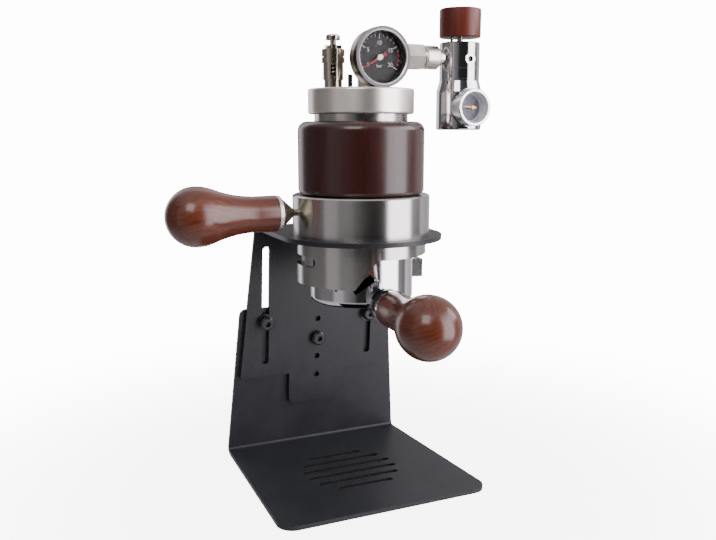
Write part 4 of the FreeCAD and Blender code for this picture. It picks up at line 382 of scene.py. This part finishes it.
def filleted(corners, steps=7):
    """Corners as a chain of points, each fillet an arc that touches both of its sides.

    A corner is (radius, height), or (radius, height, fillet) between two others. The arc's
    centre lies on the corner's bisector, at the fillet divided by the sine of the half angle.
    """
    points = np.array([corner[:2] for corner in corners], float)
    chain = []
    for index, corner in enumerate(corners):
        here = points[index]
        if len(corner) < 3:
            chain.append(here[None])
            continue
        fillet = corner[2]
        back = points[index - 1] - here
        ahead = points[index + 1] - here
        back /= np.linalg.norm(back)
        ahead /= np.linalg.norm(ahead)
        half = 0.5 * math.acos(np.clip(back @ ahead, -1, 1))
        middle = back + ahead
        centre = here + middle / np.linalg.norm(middle) * fillet / math.sin(half)
        start = here + back * fillet / math.tan(half) - centre
        end = here + ahead * fillet / math.tan(half) - centre
        sweep = math.pi - 2 * half
        sign = np.sign(start[0] * end[1] - start[1] * end[0])
        angle = sign * np.linspace(0, sweep, steps)
        turned = np.stack([start[0] * np.cos(angle) - start[1] * np.sin(angle),
                           start[0] * np.sin(angle) + start[1] * np.cos(angle)], axis=1)
        chain.append(centre + turned)
    return np.concatenate(chain)


def put_mesh(name, verts, faces, material, sharp=40):
    """A new object of points in metres and faces, smooth but for edges sharper than an angle."""
    mesh = bpy.data.meshes.new(name)
    mesh.from_pydata(verts.tolist(), [], faces)
    mesh.polygons.foreach_set("use_smooth", np.ones(len(mesh.polygons), bool))
    mesh.set_sharp_from_angle(angle=math.radians(sharp))
    mesh.materials.append(material)
    mesh.validate()
    piece = bpy.data.objects.new(name, mesh)
    bpy.context.scene.collection.objects.link(piece)
    return piece


def lattice(rows, columns, wrap_rows):
    """Quads of a grid of points whose columns close on themselves, and its rows where told."""
    i = np.arange(rows if wrap_rows else rows - 1)
    i, j = (part.ravel() for part in np.meshgrid(i, np.arange(columns), indexing="ij"))
    following = (i + 1) % rows
    beside = (j + 1) % columns
    return np.stack([i * columns + j, i * columns + beside, following * columns + beside,
                     following * columns + j], axis=1)


def outward(verts, faces):
    """The same quads, turned round if the closed surface encloses a negative volume."""
    a, b, c, d = (verts[faces[:, k]] for k in range(4))
    volume = np.einsum("ij,ij->", a, np.cross(b, c)) + np.einsum("ij,ij->", a, np.cross(c, d))
    return faces if volume > 0 else faces[:, ::-1]


def tidy_faces(verts, faces):
    """Merges points that coincide at a pole and drops the repeated corners of its faces."""
    same = 1e-7  # metres
    keys = np.round(verts / same).astype(np.int64)
    _, first, merged = np.unique(keys, axis=0, return_index=True, return_inverse=True)
    faces = merged.ravel()[faces]
    kept = []
    for face in faces.tolist():
        ring = [corner for k, corner in enumerate(face) if corner != face[k - 1]]
        if len(ring) > 2:
            kept.append(ring)
    return verts[first], kept


def revolve(name, chain, material, centre=(0, 0, 0), axis=UP, segments=160):
    """A turned solid: a chain of (radius, height) in mm carried round an axis.

    The point at angle a is centre + height along the axis + radius times (cos a, sin a) in the
    plane across it. A chain that starts and ends on the axis closes at its poles; any other
    closes on itself.
    """
    radius, height = np.asarray(chain, float).T
    angle = np.linspace(0, TAU, segments, endpoint=False)
    main = Vector(axis).normalized()
    side = main.orthogonal().normalized() if abs(main.z) < 0.99 else Vector((1, 0, 0))
    third = main.cross(side)
    verts = (np.array(centre)[None, None] + height[:, None, None] * np.array(main) * MM
             + (radius[:, None] * np.cos(angle))[..., None] * np.array(side) * MM
             + (radius[:, None] * np.sin(angle))[..., None] * np.array(third) * MM).reshape(-1, 3)
    closes_on_itself = max(radius[0], radius[-1]) > 0
    verts, faces = tidy_faces(verts, outward(verts, lattice(len(radius), segments, closes_on_itself)))
    return put_mesh(name, verts, faces, material)


def coil(name, node, mean, wire, pitch, material, around=12, per_turn=32):
    """A coil spring as long as a node of the solids, round the middle of its box.

    At turning angle a the wire's centre is mean times (cos a, sin a) from the middle, and pitch
    times a / 2 pi above the start. Each ring of points is a circle of radius wire across the
    wire's own direction, and a flat face closes each end.
    """
    low, high = (np.array(corner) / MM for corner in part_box(node))
    turns = (high[2] - low[2] - 2 * wire) / pitch
    steps = int(per_turn * turns)
    angle = np.linspace(0, TAU * turns, steps)
    flat = np.zeros(steps)
    rise = pitch / TAU
    out = np.stack([np.cos(angle), np.sin(angle), flat], 1)
    ahead = np.stack([-mean * np.sin(angle), mean * np.cos(angle), flat + rise], 1)
    side = np.cross(ahead / np.linalg.norm(ahead, axis=1)[:, None], out)
    middle = 0.5 * (low + high)
    line = mean * out + np.stack([flat + middle[0], flat + middle[1],
                                  low[2] + wire + rise * angle], 1)
    turn = np.linspace(0, TAU, around, endpoint=False)[None, :, None]
    verts = line[:, None] + wire * (out[:, None] * np.cos(turn) + side[:, None] * np.sin(turn))
    last = (steps - 1) * around
    ends = [list(range(around - 1, -1, -1)), list(range(last, last + around))]
    faces = lattice(steps, around, False).tolist() + ends
    return put_mesh(name, verts.reshape(-1, 3) * MM, faces, material)


def grip_chain(long, ball, neck, shoulder=30.0, neck_at=13.0, end=11.45):
    """A handle's outline in mm: flat end, slim neck, hollow curve, swelling shoulder and ball.

    The ball is a circle of its own radius on the axis, and the shoulder a wider circle whose
    top is the ball's top. The hollow curve is a circle that touches the neck's level at
    neck_at and touches the shoulder's circle.
    """
    middle = long - ball
    drop = ball - shoulder
    run = middle - neck_at
    rise = neck - drop
    hollow = (run * run + rise * rise - shoulder * shoulder) / (2 * (shoulder - rise))
    lean = math.atan2(rise + hollow, run)
    a = np.linspace(1.5 * math.pi, TAU - lean, 28)
    b = np.linspace(math.pi - lean, 0.5 * math.pi, 24)[1:]
    c = np.linspace(0.5 * math.pi, 0, 30)[1:]
    waist = np.stack([neck + hollow + hollow * np.sin(a), neck_at + hollow * np.cos(a)], 1)
    swell = np.stack([drop + shoulder * np.sin(b), middle + shoulder * np.cos(b)], 1)
    dome = np.stack([ball * np.sin(c), middle + ball * np.cos(c)], 1)
    dome[-1, 0] = 0
    foot = filleted([(0, 0), (end, 0, 0.5), (0.5 * (end + neck), 0.5 * neck_at)])[:-1]
    return np.concatenate([foot, waist, swell, dome])


def dress(material, *names):
    """Gives CAD nodes a finish."""
    for name in names:
        item = nodes[name]
        if not item.data.materials:
            item.data.materials.append(material)
        for slot in item.material_slots:
            slot.material = material


def lettering(name, words, centre, material, thick=0.03):
    """Flat raised words on a plane that faces -Y, thick mm deep.

    Each word is (text, across, up, size) in mm: its middle stands across and up from the
    centre, and the letter's own x and y become the X and Z of the piece.
    """
    verts, faces = [], []
    start = 0
    for text, across, up, size in words:
        curve = bpy.data.curves.new(name, "FONT")
        curve.body = text
        curve.size = size * MM
        curve.extrude = 0.5 * thick * MM
        curve.align_x = "CENTER"
        curve.align_y = "CENTER"
        holder = bpy.data.objects.new(name, curve)
        mesh = bpy.data.meshes.new_from_object(holder)
        points = np.empty(len(mesh.vertices) * 3)
        mesh.vertices.foreach_get("co", points)
        x, y, z = points.reshape(-1, 3).T
        verts.append(np.stack([x + across * MM, -z, y + up * MM], 1) + np.array(centre))
        faces += [[start + corner for corner in polygon.vertices] for polygon in mesh.polygons]
        start += len(mesh.vertices)
        bpy.data.objects.remove(holder)
        bpy.data.meshes.remove(mesh)
    return put_mesh(name, np.concatenate(verts), faces, material, 30)


def scale_words(count, step, first, sweep, reach, size):
    """The numbers 0, step, 2 step ... of a dial as words, spread over its sweep clockwise."""
    words = []
    for index in range(count):
        angle = math.radians(first - sweep / (count - 1) * index)
        words.append((str(step * index), reach * math.cos(angle), reach * math.sin(angle), size))
    return words


def centre_of(name):
    """Middle of a node's box."""
    low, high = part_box(name)
    return tuple(0.5 * (a + b) for a, b in zip(low, high))


def in_front_of(name, clear=0.03):
    """The middle of a dial's front face, clear mm ahead of it."""
    middle = centre_of(name)
    return (middle[0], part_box(name)[0][1] - clear * MM, middle[2])


# ---------------------------------------------------------------- settings

class WoodLook(bpy.types.PropertyGroup):
    """Tones of the woods."""
    sleeve: bpy.props.FloatVectorProperty(
        name="Sleeve", description="Tone of the vessel's sleeve", subtype="COLOR",
        default=(0.040, 0.0085, 0.0065), min=0, max=1)
    grip: bpy.props.FloatVectorProperty(
        name="Grips", description="Tone of the handles", subtype="COLOR",
        default=(0.125, 0.029, 0.012), min=0, max=1)
    knob: bpy.props.FloatVectorProperty(
        name="Knob", description="Tone of the regulator's knob", subtype="COLOR",
        default=(0.15, 0.022, 0.009), min=0, max=1)
    gloss: bpy.props.FloatProperty(
        name="Roughness", description="Roughness of the lacquer", default=0.3, min=0.05, max=1,
        subtype="FACTOR")


class MetalLook(bpy.types.PropertyGroup):
    """Tones of the metals."""
    steel: bpy.props.FloatVectorProperty(
        name="Steel", description="Tone of the turned steel", subtype="COLOR",
        default=(0.56, 0.54, 0.52), min=0, max=1)
    nickel: bpy.props.FloatVectorProperty(
        name="Nickel", description="Tone of the plated fittings", subtype="COLOR",
        default=(0.60, 0.56, 0.51), min=0, max=1)
    chrome: bpy.props.FloatVectorProperty(
        name="Chrome", description="Tone of the chromed parts", subtype="COLOR",
        default=(0.74, 0.74, 0.75), min=0, max=1)
    stand: bpy.props.FloatVectorProperty(
        name="Stand", description="Tone of the stand's powder coat", subtype="COLOR",
        default=(0.016, 0.017, 0.021), min=0, max=1)


class TurnedSizes(bpy.types.PropertyGroup):
    """Sizes of the turned woods."""
    handle_length: bpy.props.FloatProperty(
        name="Handle length", description="Length of a grip with its ball", default=69.5 * MM,
        min=0.05, max=0.1, unit="LENGTH")
    handle_ball: bpy.props.FloatProperty(
        name="Handle ball", description="Radius of a grip's ball", default=18.55 * MM,
        min=0.015, max=0.025, unit="LENGTH")
    handle_neck: bpy.props.FloatProperty(
        name="Handle neck", description="Radius of a grip at its slimmest", default=11.3 * MM,
        min=0.006, max=0.0115, unit="LENGTH")
    sleeve_shoulder: bpy.props.FloatProperty(
        name="Sleeve shoulder", description="Rounding of the sleeve's upper edge",
        default=6.0 * MM, min=0.001, max=0.009, unit="LENGTH")
    sleeve_foot: bpy.props.FloatProperty(
        name="Sleeve foot", description="Rounding of the sleeve's lower edge",
        default=3.9 * MM, min=0.001, max=0.0039, unit="LENGTH")
    knob_edge: bpy.props.FloatProperty(
        name="Knob edge", description="Rounding of the knob's upper edge",
        default=1.2 * MM, min=0.0002, max=0.005, unit="LENGTH")


class StudioLook(bpy.types.PropertyGroup):
    """Camera and light."""
    lens: bpy.props.FloatProperty(
        name="Lens", description="Focal length on a 36 mm wide sensor", default=41.94, min=10,
        max=200, unit="CAMERA")
    floor: bpy.props.FloatVectorProperty(
        name="Floor", description="Tone of the floor", subtype="COLOR",
        default=(0.86, 0.86, 0.86), min=0, max=1)
    key: bpy.props.FloatProperty(
        name="Key light", description="Power of the key light", default=8.0, min=0, max=200,
        unit="POWER")


def chosen(name):
    """The scene's settings of one group."""
    return getattr(bpy.context.scene, "espresso_" + name)


def tones_of(colour, dark, light):
    """Dark, middle and light shades of one wood."""
    return tuple(tuple(min(1.0, factor * part) for part in colour) for factor in (dark, 1.0, light))


# ---------------------------------------------------------------- pieces

class ESPRESSO_OT_stand(bpy.types.Operator):
    """Powder coat on the folded stand and black screws"""
    bl_idname = "espresso.stand"
    bl_label = "Stand"

    def execute(self, context):
        tone = tuple(chosen("metals").stand)
        dress(powder_coat("Powder coat", tone, roughness=0.42), "height_slider")
        coat = powder_coat("Powder coat with painted slot shade", tone, roughness=0.42)
        field, field_radius, under_the_top = (0, 19.5 * MM, 0), 40 * MM, 2.8 * MM
        # Painted shade: the walls of the drip slots, below the sheet's top face, are painted near
        # black for the shade inside the slots
        paint_ring(coat, field, 0, field_radius, (0.0015, 0.0015, 0.0015), OFF_STANDING_AXIS,
                   beyond=((0, 0, -1), -under_the_top))
        dress(coat, "base_bracket")
        black = enamel("Black oxide", (0.012, 0.012, 0.014), roughness=0.34)
        dress(black, "side_screws", "side_washers", "side_nuts", "lock_screw", "lid_pin")
        return {"FINISHED"}


class ESPRESSO_OT_group(bpy.types.Operator):
    """Turned steel body, water vessel, lid and what is inside the group"""
    bl_idname = "espresso.group"
    bl_label = "Group, vessel and lid"

    def execute(self, context):
        steel = tuple(chosen("metals").steel)
        body = turned_metal("Turned steel", steel, roughness=0.22, lines=0.6, spread=0.85)
        dress(body, "group_body")
        # The satin roughness is the lid's own finish; its paler, warmer tone than the body's steel is
        # painted light, for the light the lid catches
        pale = (1.7 * steel[0], 1.66 * steel[1], 1.58 * steel[2])
        satin = turned_metal("Satin steel", pale, roughness=0.36, lines=0.3, spread=0.5)
        dress(satin, "lid", "shower_screen", "filter_basket", "screen_screw")
        dress(polished_metal("Vessel steel", steel, roughness=0.2), "water_chamber")
        rubber = enamel("Silicone", (0.05, 0.045, 0.042), roughness=0.6)
        dress(rubber, "group_gasket", "chamber_seal", "lid_seal", "cartridge_seal")
        return {"FINISHED"}


class ESPRESSO_OT_sleeve(bpy.types.Operator):
    """Turned wood sleeve round the water vessel"""
    bl_idname = "espresso.sleeve"
    bl_label = "Wood sleeve"

    def execute(self, context):
        woods, sizes = chosen("woods"), chosen("sizes")
        tones = tones_of(woods.sleeve, dark=0.6, light=1.3)
        finish = wood_finish("Sleeve wood", (0.0, 0.0, 0.22), GRAIN_UPRIGHT, tones,
                             figure=0.25, gloss=woods.gloss, coat=0.5)
        low, high = (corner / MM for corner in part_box("wood_sleeve"))
        outside, foot, top = high.x, low.z, high.z
        bore, neck, roof = 37.15, 30.45, 3.9  # round the vessel, round its neck, over its shoulder
        chain = filleted([
            (bore, foot), (outside, foot, sizes.sleeve_foot / MM),
            (outside, top, sizes.sleeve_shoulder / MM), (neck, top, 0.6),
            (neck, top - roof), (bore, top - roof),
        ], 12)
        piece = revolve("sleeve_wood", chain, finish, segments=192)
        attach(piece, "brewer")
        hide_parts("wood_sleeve")
        return {"FINISHED"}


class ESPRESSO_OT_grips(bpy.types.Operator):
    """Two turned rosewood grips with their metal ends"""
    bl_idname = "espresso.grips"
    bl_label = "Handles"

    def execute(self, context):
        woods, sizes = chosen("woods"), chosen("sizes")
        chrome = polished_metal("Handle chrome", tuple(chosen("metals").chrome), roughness=0.12)
        dress(chrome, "portafilter_ferrule", "side_handle_stud", "portafilter_stud")
        cone = polished_metal("Cone steel", (0.36, 0.34, 0.24), roughness=0.3)
        flange_low, flange_high = 11.1 * MM, 13 * MM
        # Painted highlight: the flange next to the wood is painted pale for the bright ring of light
        # on it
        paint_ring(cone, centre_of("side_handle_cone"), flange_low, flange_high,
                   (0.9, 0.88, 0.84), OFF_SIDE_AXIS)
        dress(cone, "side_handle_cone")
        chain = grip_chain(sizes.handle_length / MM, sizes.handle_ball / MM,
                           sizes.handle_neck / MM)
        tones = tones_of(woods.grip, dark=0.5, light=1.6)
        # A grip starts at a distance from the brewing axis, at a height, both in mm
        for name, node, body, start, azimuth, height in (
                ("side_grip_wood", "side_handle_grip", "brewer", 59.1, 180.0, 191.0),
                ("portafilter_grip_wood", "portafilter_grip", "portafilter", 57.9, -94.6, 135.7)):
            angle = math.radians(azimuth)
            heading = Vector((math.cos(angle), math.sin(angle), 0))
            centre = Vector((0, 0, height * MM)) + heading * start * MM
            finish = wood_finish(name.replace("_", " ").capitalize(), tuple(centre),
                                 (0, 0, -angle), tones, figure=0.32, gloss=woods.gloss, coat=0.5)
            piece = revolve(name, chain, finish, tuple(centre), tuple(heading))
            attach(piece, body)
            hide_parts(node)
        return {"FINISHED"}


class ESPRESSO_OT_portafilter(bpy.types.Operator):
    """Chromed portafilter body with painted shade in its recess, and the basket's wire"""
    bl_idname = "espresso.portafilter"
    bl_label = "Portafilter"

    def execute(self, context):
        chrome = polished_metal("Portafilter chrome", tuple(chosen("metals").chrome), roughness=0.09)
        azimuth = math.radians(-112.4)
        recess_from, recess_low, recess_high = 30.5 * MM, 32.2 * MM, 34.1 * MM
        # Painted shade: the faces of the recess beside the neck are painted near black for the shade
        # in it
        paint_ring(chrome, (0, 0, 0), recess_low, recess_high, (0.004, 0.004, 0.005),
                   OFF_STANDING_AXIS, beyond=((math.cos(azimuth), math.sin(azimuth), 0), recess_from))
        dress(chrome, "portafilter_body")
        dress(polished_metal("Clip wire", (0.5, 0.5, 0.5), roughness=0.25), "basket_clip")
        return {"FINISHED"}


class ESPRESSO_OT_fittings(bpy.types.Operator):
    """Plated valve, post, inlet and coupler, and the regulator's port plug"""
    bl_idname = "espresso.fittings"
    bl_label = "Valve and gas fittings"

    def execute(self, context):
        nickel = tuple(chosen("metals").nickel)
        pale = (0.86, 0.80, 0.75)
        plate = polished_metal("Nickel plate", pale, roughness=0.24)
        dress(plate, "gauge_post", "inlet_adapter", "coupler_body", "quick_plug")
        warm = (nickel[0], 0.96 * nickel[1], 0.84 * nickel[2])
        valve = polished_metal("Valve brass nickel", warm, roughness=0.17)
        dress(valve, "relief_valve_body", "relief_valve_cap", "relief_valve_stem")
        plug = polished_metal("Plug chrome", (0.9, 0.9, 0.9), roughness=0.2)
        socket_radius = 1.9 * MM
        # Painted shade: the socket in the middle of the plug is painted black for the shade inside it
        paint_ring(plug, centre_of("port_plug"), 0.0, socket_radius, BLACK, metallic=0.0)
        dress(plug, "port_plug")
        sleeve = knurled_metal("Knurled sleeve", pale, 0.24, centre_of("coupler_sleeve"))
        dress(sleeve, "coupler_sleeve")
        return {"FINISHED"}


class ESPRESSO_OT_springs(bpy.types.Operator):
    """Coil springs of the relief valve and of the regulator"""
    bl_idname = "espresso.springs"
    bl_label = "Springs"

    def execute(self, context):
        steel = polished_metal("Spring wire", (0.5, 0.5, 0.5), roughness=0.25)
        # In mm: mean radius, wire radius and pitch, height of the end that stays, joint's travel
        for name, node, body, mean, wire, pitch, joint, fixed, travel in (
                ("relief_coil", "relief_spring", "lid", 3.2, 0.5, 2.5, "relief_pull", 284.4, 3.0),
                ("regulator_coil", "regulator_spring", "regulator", 5.2, 0.8, 2.9, "knob_feed",
                 274.45, 0.833)):
            piece = coil(name, node, mean, wire, pitch, steel)
            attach(piece, body)
            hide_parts(node)
            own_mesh(piece)
        return {"FINISHED"}


class ESPRESSO_OT_gauges(bpy.types.Operator):
    """Main gauge and small gauge with their printed faces"""
    bl_idname = "espresso.gauges"
    bl_label = "Gauges"

    def execute(self, context):
        self.cases()
        self.main_face()
        self.small_face()
        return {"FINISHED"}

    def cases(self):
        """Metal of both gauges, with painted highlights on the walls round their dials."""
        axis = centre_of("gauge_dial")
        case = turned_metal("Gauge case", tuple(chosen("metals").nickel), roughness=0.3, lines=0.3,
                            spread=0.4, centre=(axis[0], 0, axis[2]), axis=GAUGE_AXIS)
        dress(case, "gauge_case")
        bezel = turned_metal("Gauge bezel", (0.095, 0.088, 0.092), roughness=0.3, lines=0.3,
                             spread=0.4, centre=axis, axis=GAUGE_AXIS)
        dial_opening = 16.7 * MM
        # Painted highlight: the bezel's inner edge round the dial is painted pale for the light on it
        paint_ring(bezel, axis, 0.0, dial_opening, (0.9, 0.9, 0.87))
        dress(bezel, "gauge_bezel")
        small = polished_metal("Small case chrome", (0.86, 0.87, 0.9), roughness=0.16)
        wall_low, wall_high, behind_front = 8.0 * MM, 11.95 * MM, -20.9 * MM
        # Painted highlight: the inner wall of the chrome case is painted white, not metal, for the
        # bright reflection on it
        paint_ring(small, centre_of("mini_gauge_dial"), wall_low, wall_high, (0.93, 0.93, 0.97),
                   metallic=0.0, beyond=(GAUGE_AXIS, behind_front))
        dress(small, "mini_gauge_case")
        brass = polished_metal("Brass", (0.62, 0.40, 0.13), roughness=0.25)
        dress(brass, "mini_gauge_needle", "gauge_tube", "regulator_piston", "spring_button")
        dress(clear_lens("Lens"), "gauge_lens", "mini_gauge_lens")

    def main_face(self):
        """Black dial with white marks and numbers, and the red needle with its bright hub."""
        centre = centre_of("gauge_dial")
        first, sweep = 210, 240  # degrees
        face = printed_dial(
            "Main dial", (0.004, 0.004, 0.0045), centre, math.radians(first), math.radians(sweep),
            [(20, 0.80, 0.90, 0.008), (4, 0.70, 0.90, 0.017)],
            [(0.80, 0.97, 0.80, 0.86, (0.45, 0.01, 0.05)), (0.55, 0.78, 0.82, 0.85, (0.16, 0.2, 0.1))],
            16 * MM)
        dress(face, "gauge_dial")
        needle = enamel("Pointer red", (0.42, 0.006, 0.02), roughness=0.35)
        hub = 2.3 * MM
        paint_ring(needle, centre, 0.0, hub, (0.62, 0.6, 0.58), metallic=1.0)
        dress(needle, "gauge_needle")
        words = scale_words(5, 5, first, sweep, 8.9, 3.6) + [("bar", 0, -5.2, 3.0)]
        ink = enamel("Dial ink", LETTER_WHITE, roughness=0.5)
        piece = lettering("gauge_numbers", words, in_front_of("gauge_dial"), ink)
        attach(piece, "lid")

    def small_face(self):
        """Grey dial of the small gauge with fine marks and numbers."""
        centre = centre_of("mini_gauge_dial")
        first, sweep = 215, 250  # degrees
        face = printed_dial(
            "Small dial", (0.33, 0.32, 0.41), centre, math.radians(first), math.radians(sweep),
            [(30, 0.72, 0.80, 0.009), (6, 0.66, 0.80, 0.016)],
            # Painted highlight: the white ring round the dial's edge continues the bright reflection
            # of the case's inner wall onto the dial
            [(-9, 9, 0.84, 1.2, (0.93, 0.93, 0.95))], 10.3 * MM)
        dress(face, "mini_gauge_dial")
        ink = enamel("Small dial ink", (0.8, 0.8, 0.82), roughness=0.5)
        piece = lettering("mini_gauge_numbers", scale_words(4, 20, first, sweep, 5.0, 1.9),
                          in_front_of("mini_gauge_dial"), ink)
        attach(piece, "regulator")


class ESPRESSO_OT_regulator(bpy.types.Operator):
    """Chromed regulator with its wood knob"""
    bl_idname = "espresso.regulator"
    bl_label = "Regulator"

    def execute(self, context):
        low, high = (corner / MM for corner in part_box("regulator_knob"))
        outside, foot, top = 0.5 * (high.x - low.x), low.z, high.z
        axis = (0.5 * (low.x + high.x) * MM, 0, 0)
        chrome = turned_metal("Regulator chrome", tuple(chosen("metals").chrome), roughness=0.1,
                              lines=0.25, spread=0.3, centre=axis)
        dress(chrome, "regulator_body", "cartridge_holder")
        steel = polished_metal("Spindle steel", (0.45, 0.45, 0.45), roughness=0.2)
        dress(steel, "knob_spindle", "knob_pin", "piercing_pin")
        woods = chosen("woods")
        tones = tones_of(woods.knob, dark=0.6, light=1.3)
        finish = wood_finish("Knob wood", (axis[0], 0, 0.313), GRAIN_UPRIGHT, tones,
                             figure=0.3, gloss=1.3 * woods.gloss, coat=0.12)
        hole, hole_depth = 2.03, 8.53  # for the spindle
        chain = filleted([
            (hole, foot), (outside, foot, 1.0), (outside, top, chosen("sizes").knob_edge / MM),
            (0, top), (0, foot + hole_depth), (hole, foot + hole_depth),
        ])
        piece = revolve("knob_wood", chain, finish, axis)
        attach(piece, "knob")
        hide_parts("regulator_knob")
        return {"FINISHED"}


class ESPRESSO_OT_studio(bpy.types.Operator):
    """Pale floor, softboxes, surroundings and camera"""
    bl_idname = "espresso.studio"
    bl_label = "Studio"

    def execute(self, context):
        studio = chosen("studio")
        make_floor(tuple(studio.floor))
        make_surroundings()
        for name, spot, size, power in (
                ("Key", (-0.75, -0.9, 1.15), 0.7, studio.key),
                ("Side", (0.95, -0.25, 0.65), 0.5, studio.key * 0.55),
                ("Back", (0.2, 0.9, 1.0), 0.8, studio.key * 0.15)):
            add_softbox(name, spot, size, power)
        aim_camera(studio.lens)
        return {"FINISHED"}


def make_floor(colour, radius=30.0, sides=96, under=0.0001):
    """A wide round floor, just under the stand, that fades into white far out."""
    angle = np.linspace(0, TAU, sides, endpoint=False)
    rim = np.stack([radius * np.cos(angle), radius * np.sin(angle), np.full(sides, -under)], 1)
    finish = new_material("Floor", Base_Color=(*colour, 1), Roughness=0.7)
    tree = finish.node_tree
    away = measure(tree, "LENGTH", place(tree))
    fade = add(tree, "MapRange", {"Value": away, "From Min": 0.12, "From Max": 0.5,
                                  "To Min": 0.45, "To Max": 1.0}, interpolation_type="SMOOTHSTEP")
    white = add(tree, "Emission", {"Color": (1, 1, 1, 1), "Strength": WHITE})
    seen = add(tree, "LightPath").outputs["Is Camera Ray"]
    through = add(tree, "BsdfTransparent")
    far = add(tree, "MixShader", {0: seen, 1: through.outputs[0], 2: white.outputs[0]})
    mix = add(tree, "MixShader", {0: fade.outputs["Result"],
                                  1: tree.nodes["Principled BSDF"].outputs[0], 2: far.outputs[0]})
    tree.links.new(mix.outputs[0], tree.nodes["Material Output"].inputs["Surface"])
    floor = put_mesh("floor", rim, [list(range(sides))], finish)


# Brightness of the studio by compass direction: degrees from where the camera stands, seen
# from the maker and growing towards the camera's right, and a level.
STUDIO_BANDS = [
    (-180, 0.30), (-170, 0.08), (-158, 0.15), (-152, 1.5), (-134, 1.5), (-126, 0.12),
    (-112, 0.13), (-96, 0.20), (-66, 0.20), (-61, 0.52), (-42, 0.48), (-36, 0.28), (-14, 0.13),
    (-8, 0.03), (32, 0.02), (43, 0.05), (49, 6.5), (86, 6.5), (91, 0.35), (112, 0.2), (118, 0.9),
    (140, 0.6), (158, 0.8), (170, 0.9), (180, 0.30),
]


def make_surroundings():
    """Light from all round: softboxes and dark gaps by compass direction, plain white as seen."""
    world = bpy.data.worlds.new("Studio")
    bpy.context.scene.world = world
    world.use_nodes = True
    tree = world.node_tree
    toward = add(tree, "TexCoord").outputs["Generated"]
    parts = add(tree, "SeparateXYZ", {0: toward})
    compass = maths(tree, "ARCTAN2", parts.outputs["Y"], parts.outputs["X"])
    offset = maths(tree, "SUBTRACT", compass, math.radians(CAMERA_AZIMUTH))
    turn = maths(tree, "FRACT", maths(tree, "ADD", maths(tree, "DIVIDE", offset, TAU), 1.5))
    top = max(level for _, level in STUDIO_BANDS)
    stops = [(0.5 + degrees / 360, (level / top, 0.95 * level / top, level / top))
             for degrees, level in STUDIO_BANDS]
    band = ramp(tree, turn, stops)
    overhead = ramp(tree, parts.outputs["Z"], [(0.5, (0, 0, 0)), (0.8, (1, 1, 1))])
    above = blend(tree, overhead, band, (0.12, 0.12, 0.125))
    depth = maths(tree, "MULTIPLY", parts.outputs["Z"], -1.0)
    below = ramp(tree, depth, [(0.35, (0, 0, 0)), (0.5, (1, 1, 1))])
    lit = blend(tree, below, above, (0.06, 0.06, 0.06))
    glow = add(tree, "Background", {"Color": lit, "Strength": top})
    white = add(tree, "Background", {"Color": (1, 1, 1, 1), "Strength": WHITE})
    seen = add(tree, "LightPath").outputs["Is Camera Ray"]
    mix = add(tree, "MixShader", {0: seen, 1: glow.outputs[0], 2: white.outputs[0]})
    tree.links.new(mix.outputs[0], tree.nodes["World Output"].inputs["Surface"])


def add_softbox(name, spot, size, power, aim=(0, 0, 0.16)):
    """A square area light of a size in metres and a power in watts, turned to a point."""
    light = bpy.data.lights.new(name, "AREA")
    light.energy = power
    light.size = size
    box = bpy.data.objects.new(name, light)
    box.location = spot
    box.rotation_euler = (Vector(aim) - Vector(spot)).to_track_quat("-Z", "Y").to_euler()
    bpy.context.scene.collection.objects.link(box)


def aim_camera(lens):
    """The camera, set by its heading and downward tilt in radians and its place in metres.

    It stands away from the brewing axis against its heading, and sideways of that line.
    """
    camera = bpy.data.cameras.new("Camera")
    camera.lens = lens
    camera.sensor_width = 36.0
    camera.clip_start = 0.01
    holder = bpy.data.objects.new("Camera", camera)
    heading = 0.4281
    down = 0.1698
    away = 0.54806
    height = 0.24463
    sideways = -0.001948
    forward = Vector((math.sin(heading), math.cos(heading), 0))
    right = Vector((math.cos(heading), -math.sin(heading), 0))
    holder.location = -forward * away + right * sideways + Vector((0, 0, height))
    holder.rotation_euler = Euler((math.pi / 2 - down, 0, -heading))
    bpy.context.scene.collection.objects.link(holder)
    bpy.context.scene.camera = holder


# ---------------------------------------------------------------- add-on

OPERATORS = (ESPRESSO_OT_stand, ESPRESSO_OT_group, ESPRESSO_OT_sleeve, ESPRESSO_OT_grips,
             ESPRESSO_OT_portafilter, ESPRESSO_OT_fittings, ESPRESSO_OT_springs,
             ESPRESSO_OT_gauges, ESPRESSO_OT_regulator, ESPRESSO_OT_studio)
SETTINGS = {"woods": WoodLook, "metals": MetalLook, "sizes": TurnedSizes, "studio": StudioLook}


class ESPRESSO_PT_panel(bpy.types.Panel):
    """Lists the pieces and their settings"""
    bl_idname = "ESPRESSO_PT_panel"
    bl_label = "Espresso maker"
    bl_space_type = "VIEW_3D"
    bl_region_type = "UI"
    bl_category = "Espresso"

    def draw(self, context):
        for name, group in SETTINGS.items():
            box = self.layout.box()
            for key in group.__annotations__:
                box.prop(chosen(name), key)
        for operator in OPERATORS:
            self.layout.operator(operator.bl_idname)


def register():
    for group in SETTINGS.values():
        bpy.utils.register_class(group)
    for operator in OPERATORS:
        bpy.utils.register_class(operator)
    bpy.utils.register_class(ESPRESSO_PT_panel)
    for name, group in SETTINGS.items():
        setattr(bpy.types.Scene, "espresso_" + name, bpy.props.PointerProperty(type=group))


def unregister():
    for name in SETTINGS:
        delattr(bpy.types.Scene, "espresso_" + name)
    bpy.utils.unregister_class(ESPRESSO_PT_panel)
    for operator in reversed(OPERATORS):
        bpy.utils.unregister_class(operator)
    for group in reversed(SETTINGS.values()):
        bpy.utils.unregister_class(group)


def main():
    """Makes every piece and the studio."""
    register()
    for operator in OPERATORS:
        family, name = operator.bl_idname.split(".")
        getattr(getattr(bpy.ops, family), name)()
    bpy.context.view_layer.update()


if __name__ == "__main__":
    main()
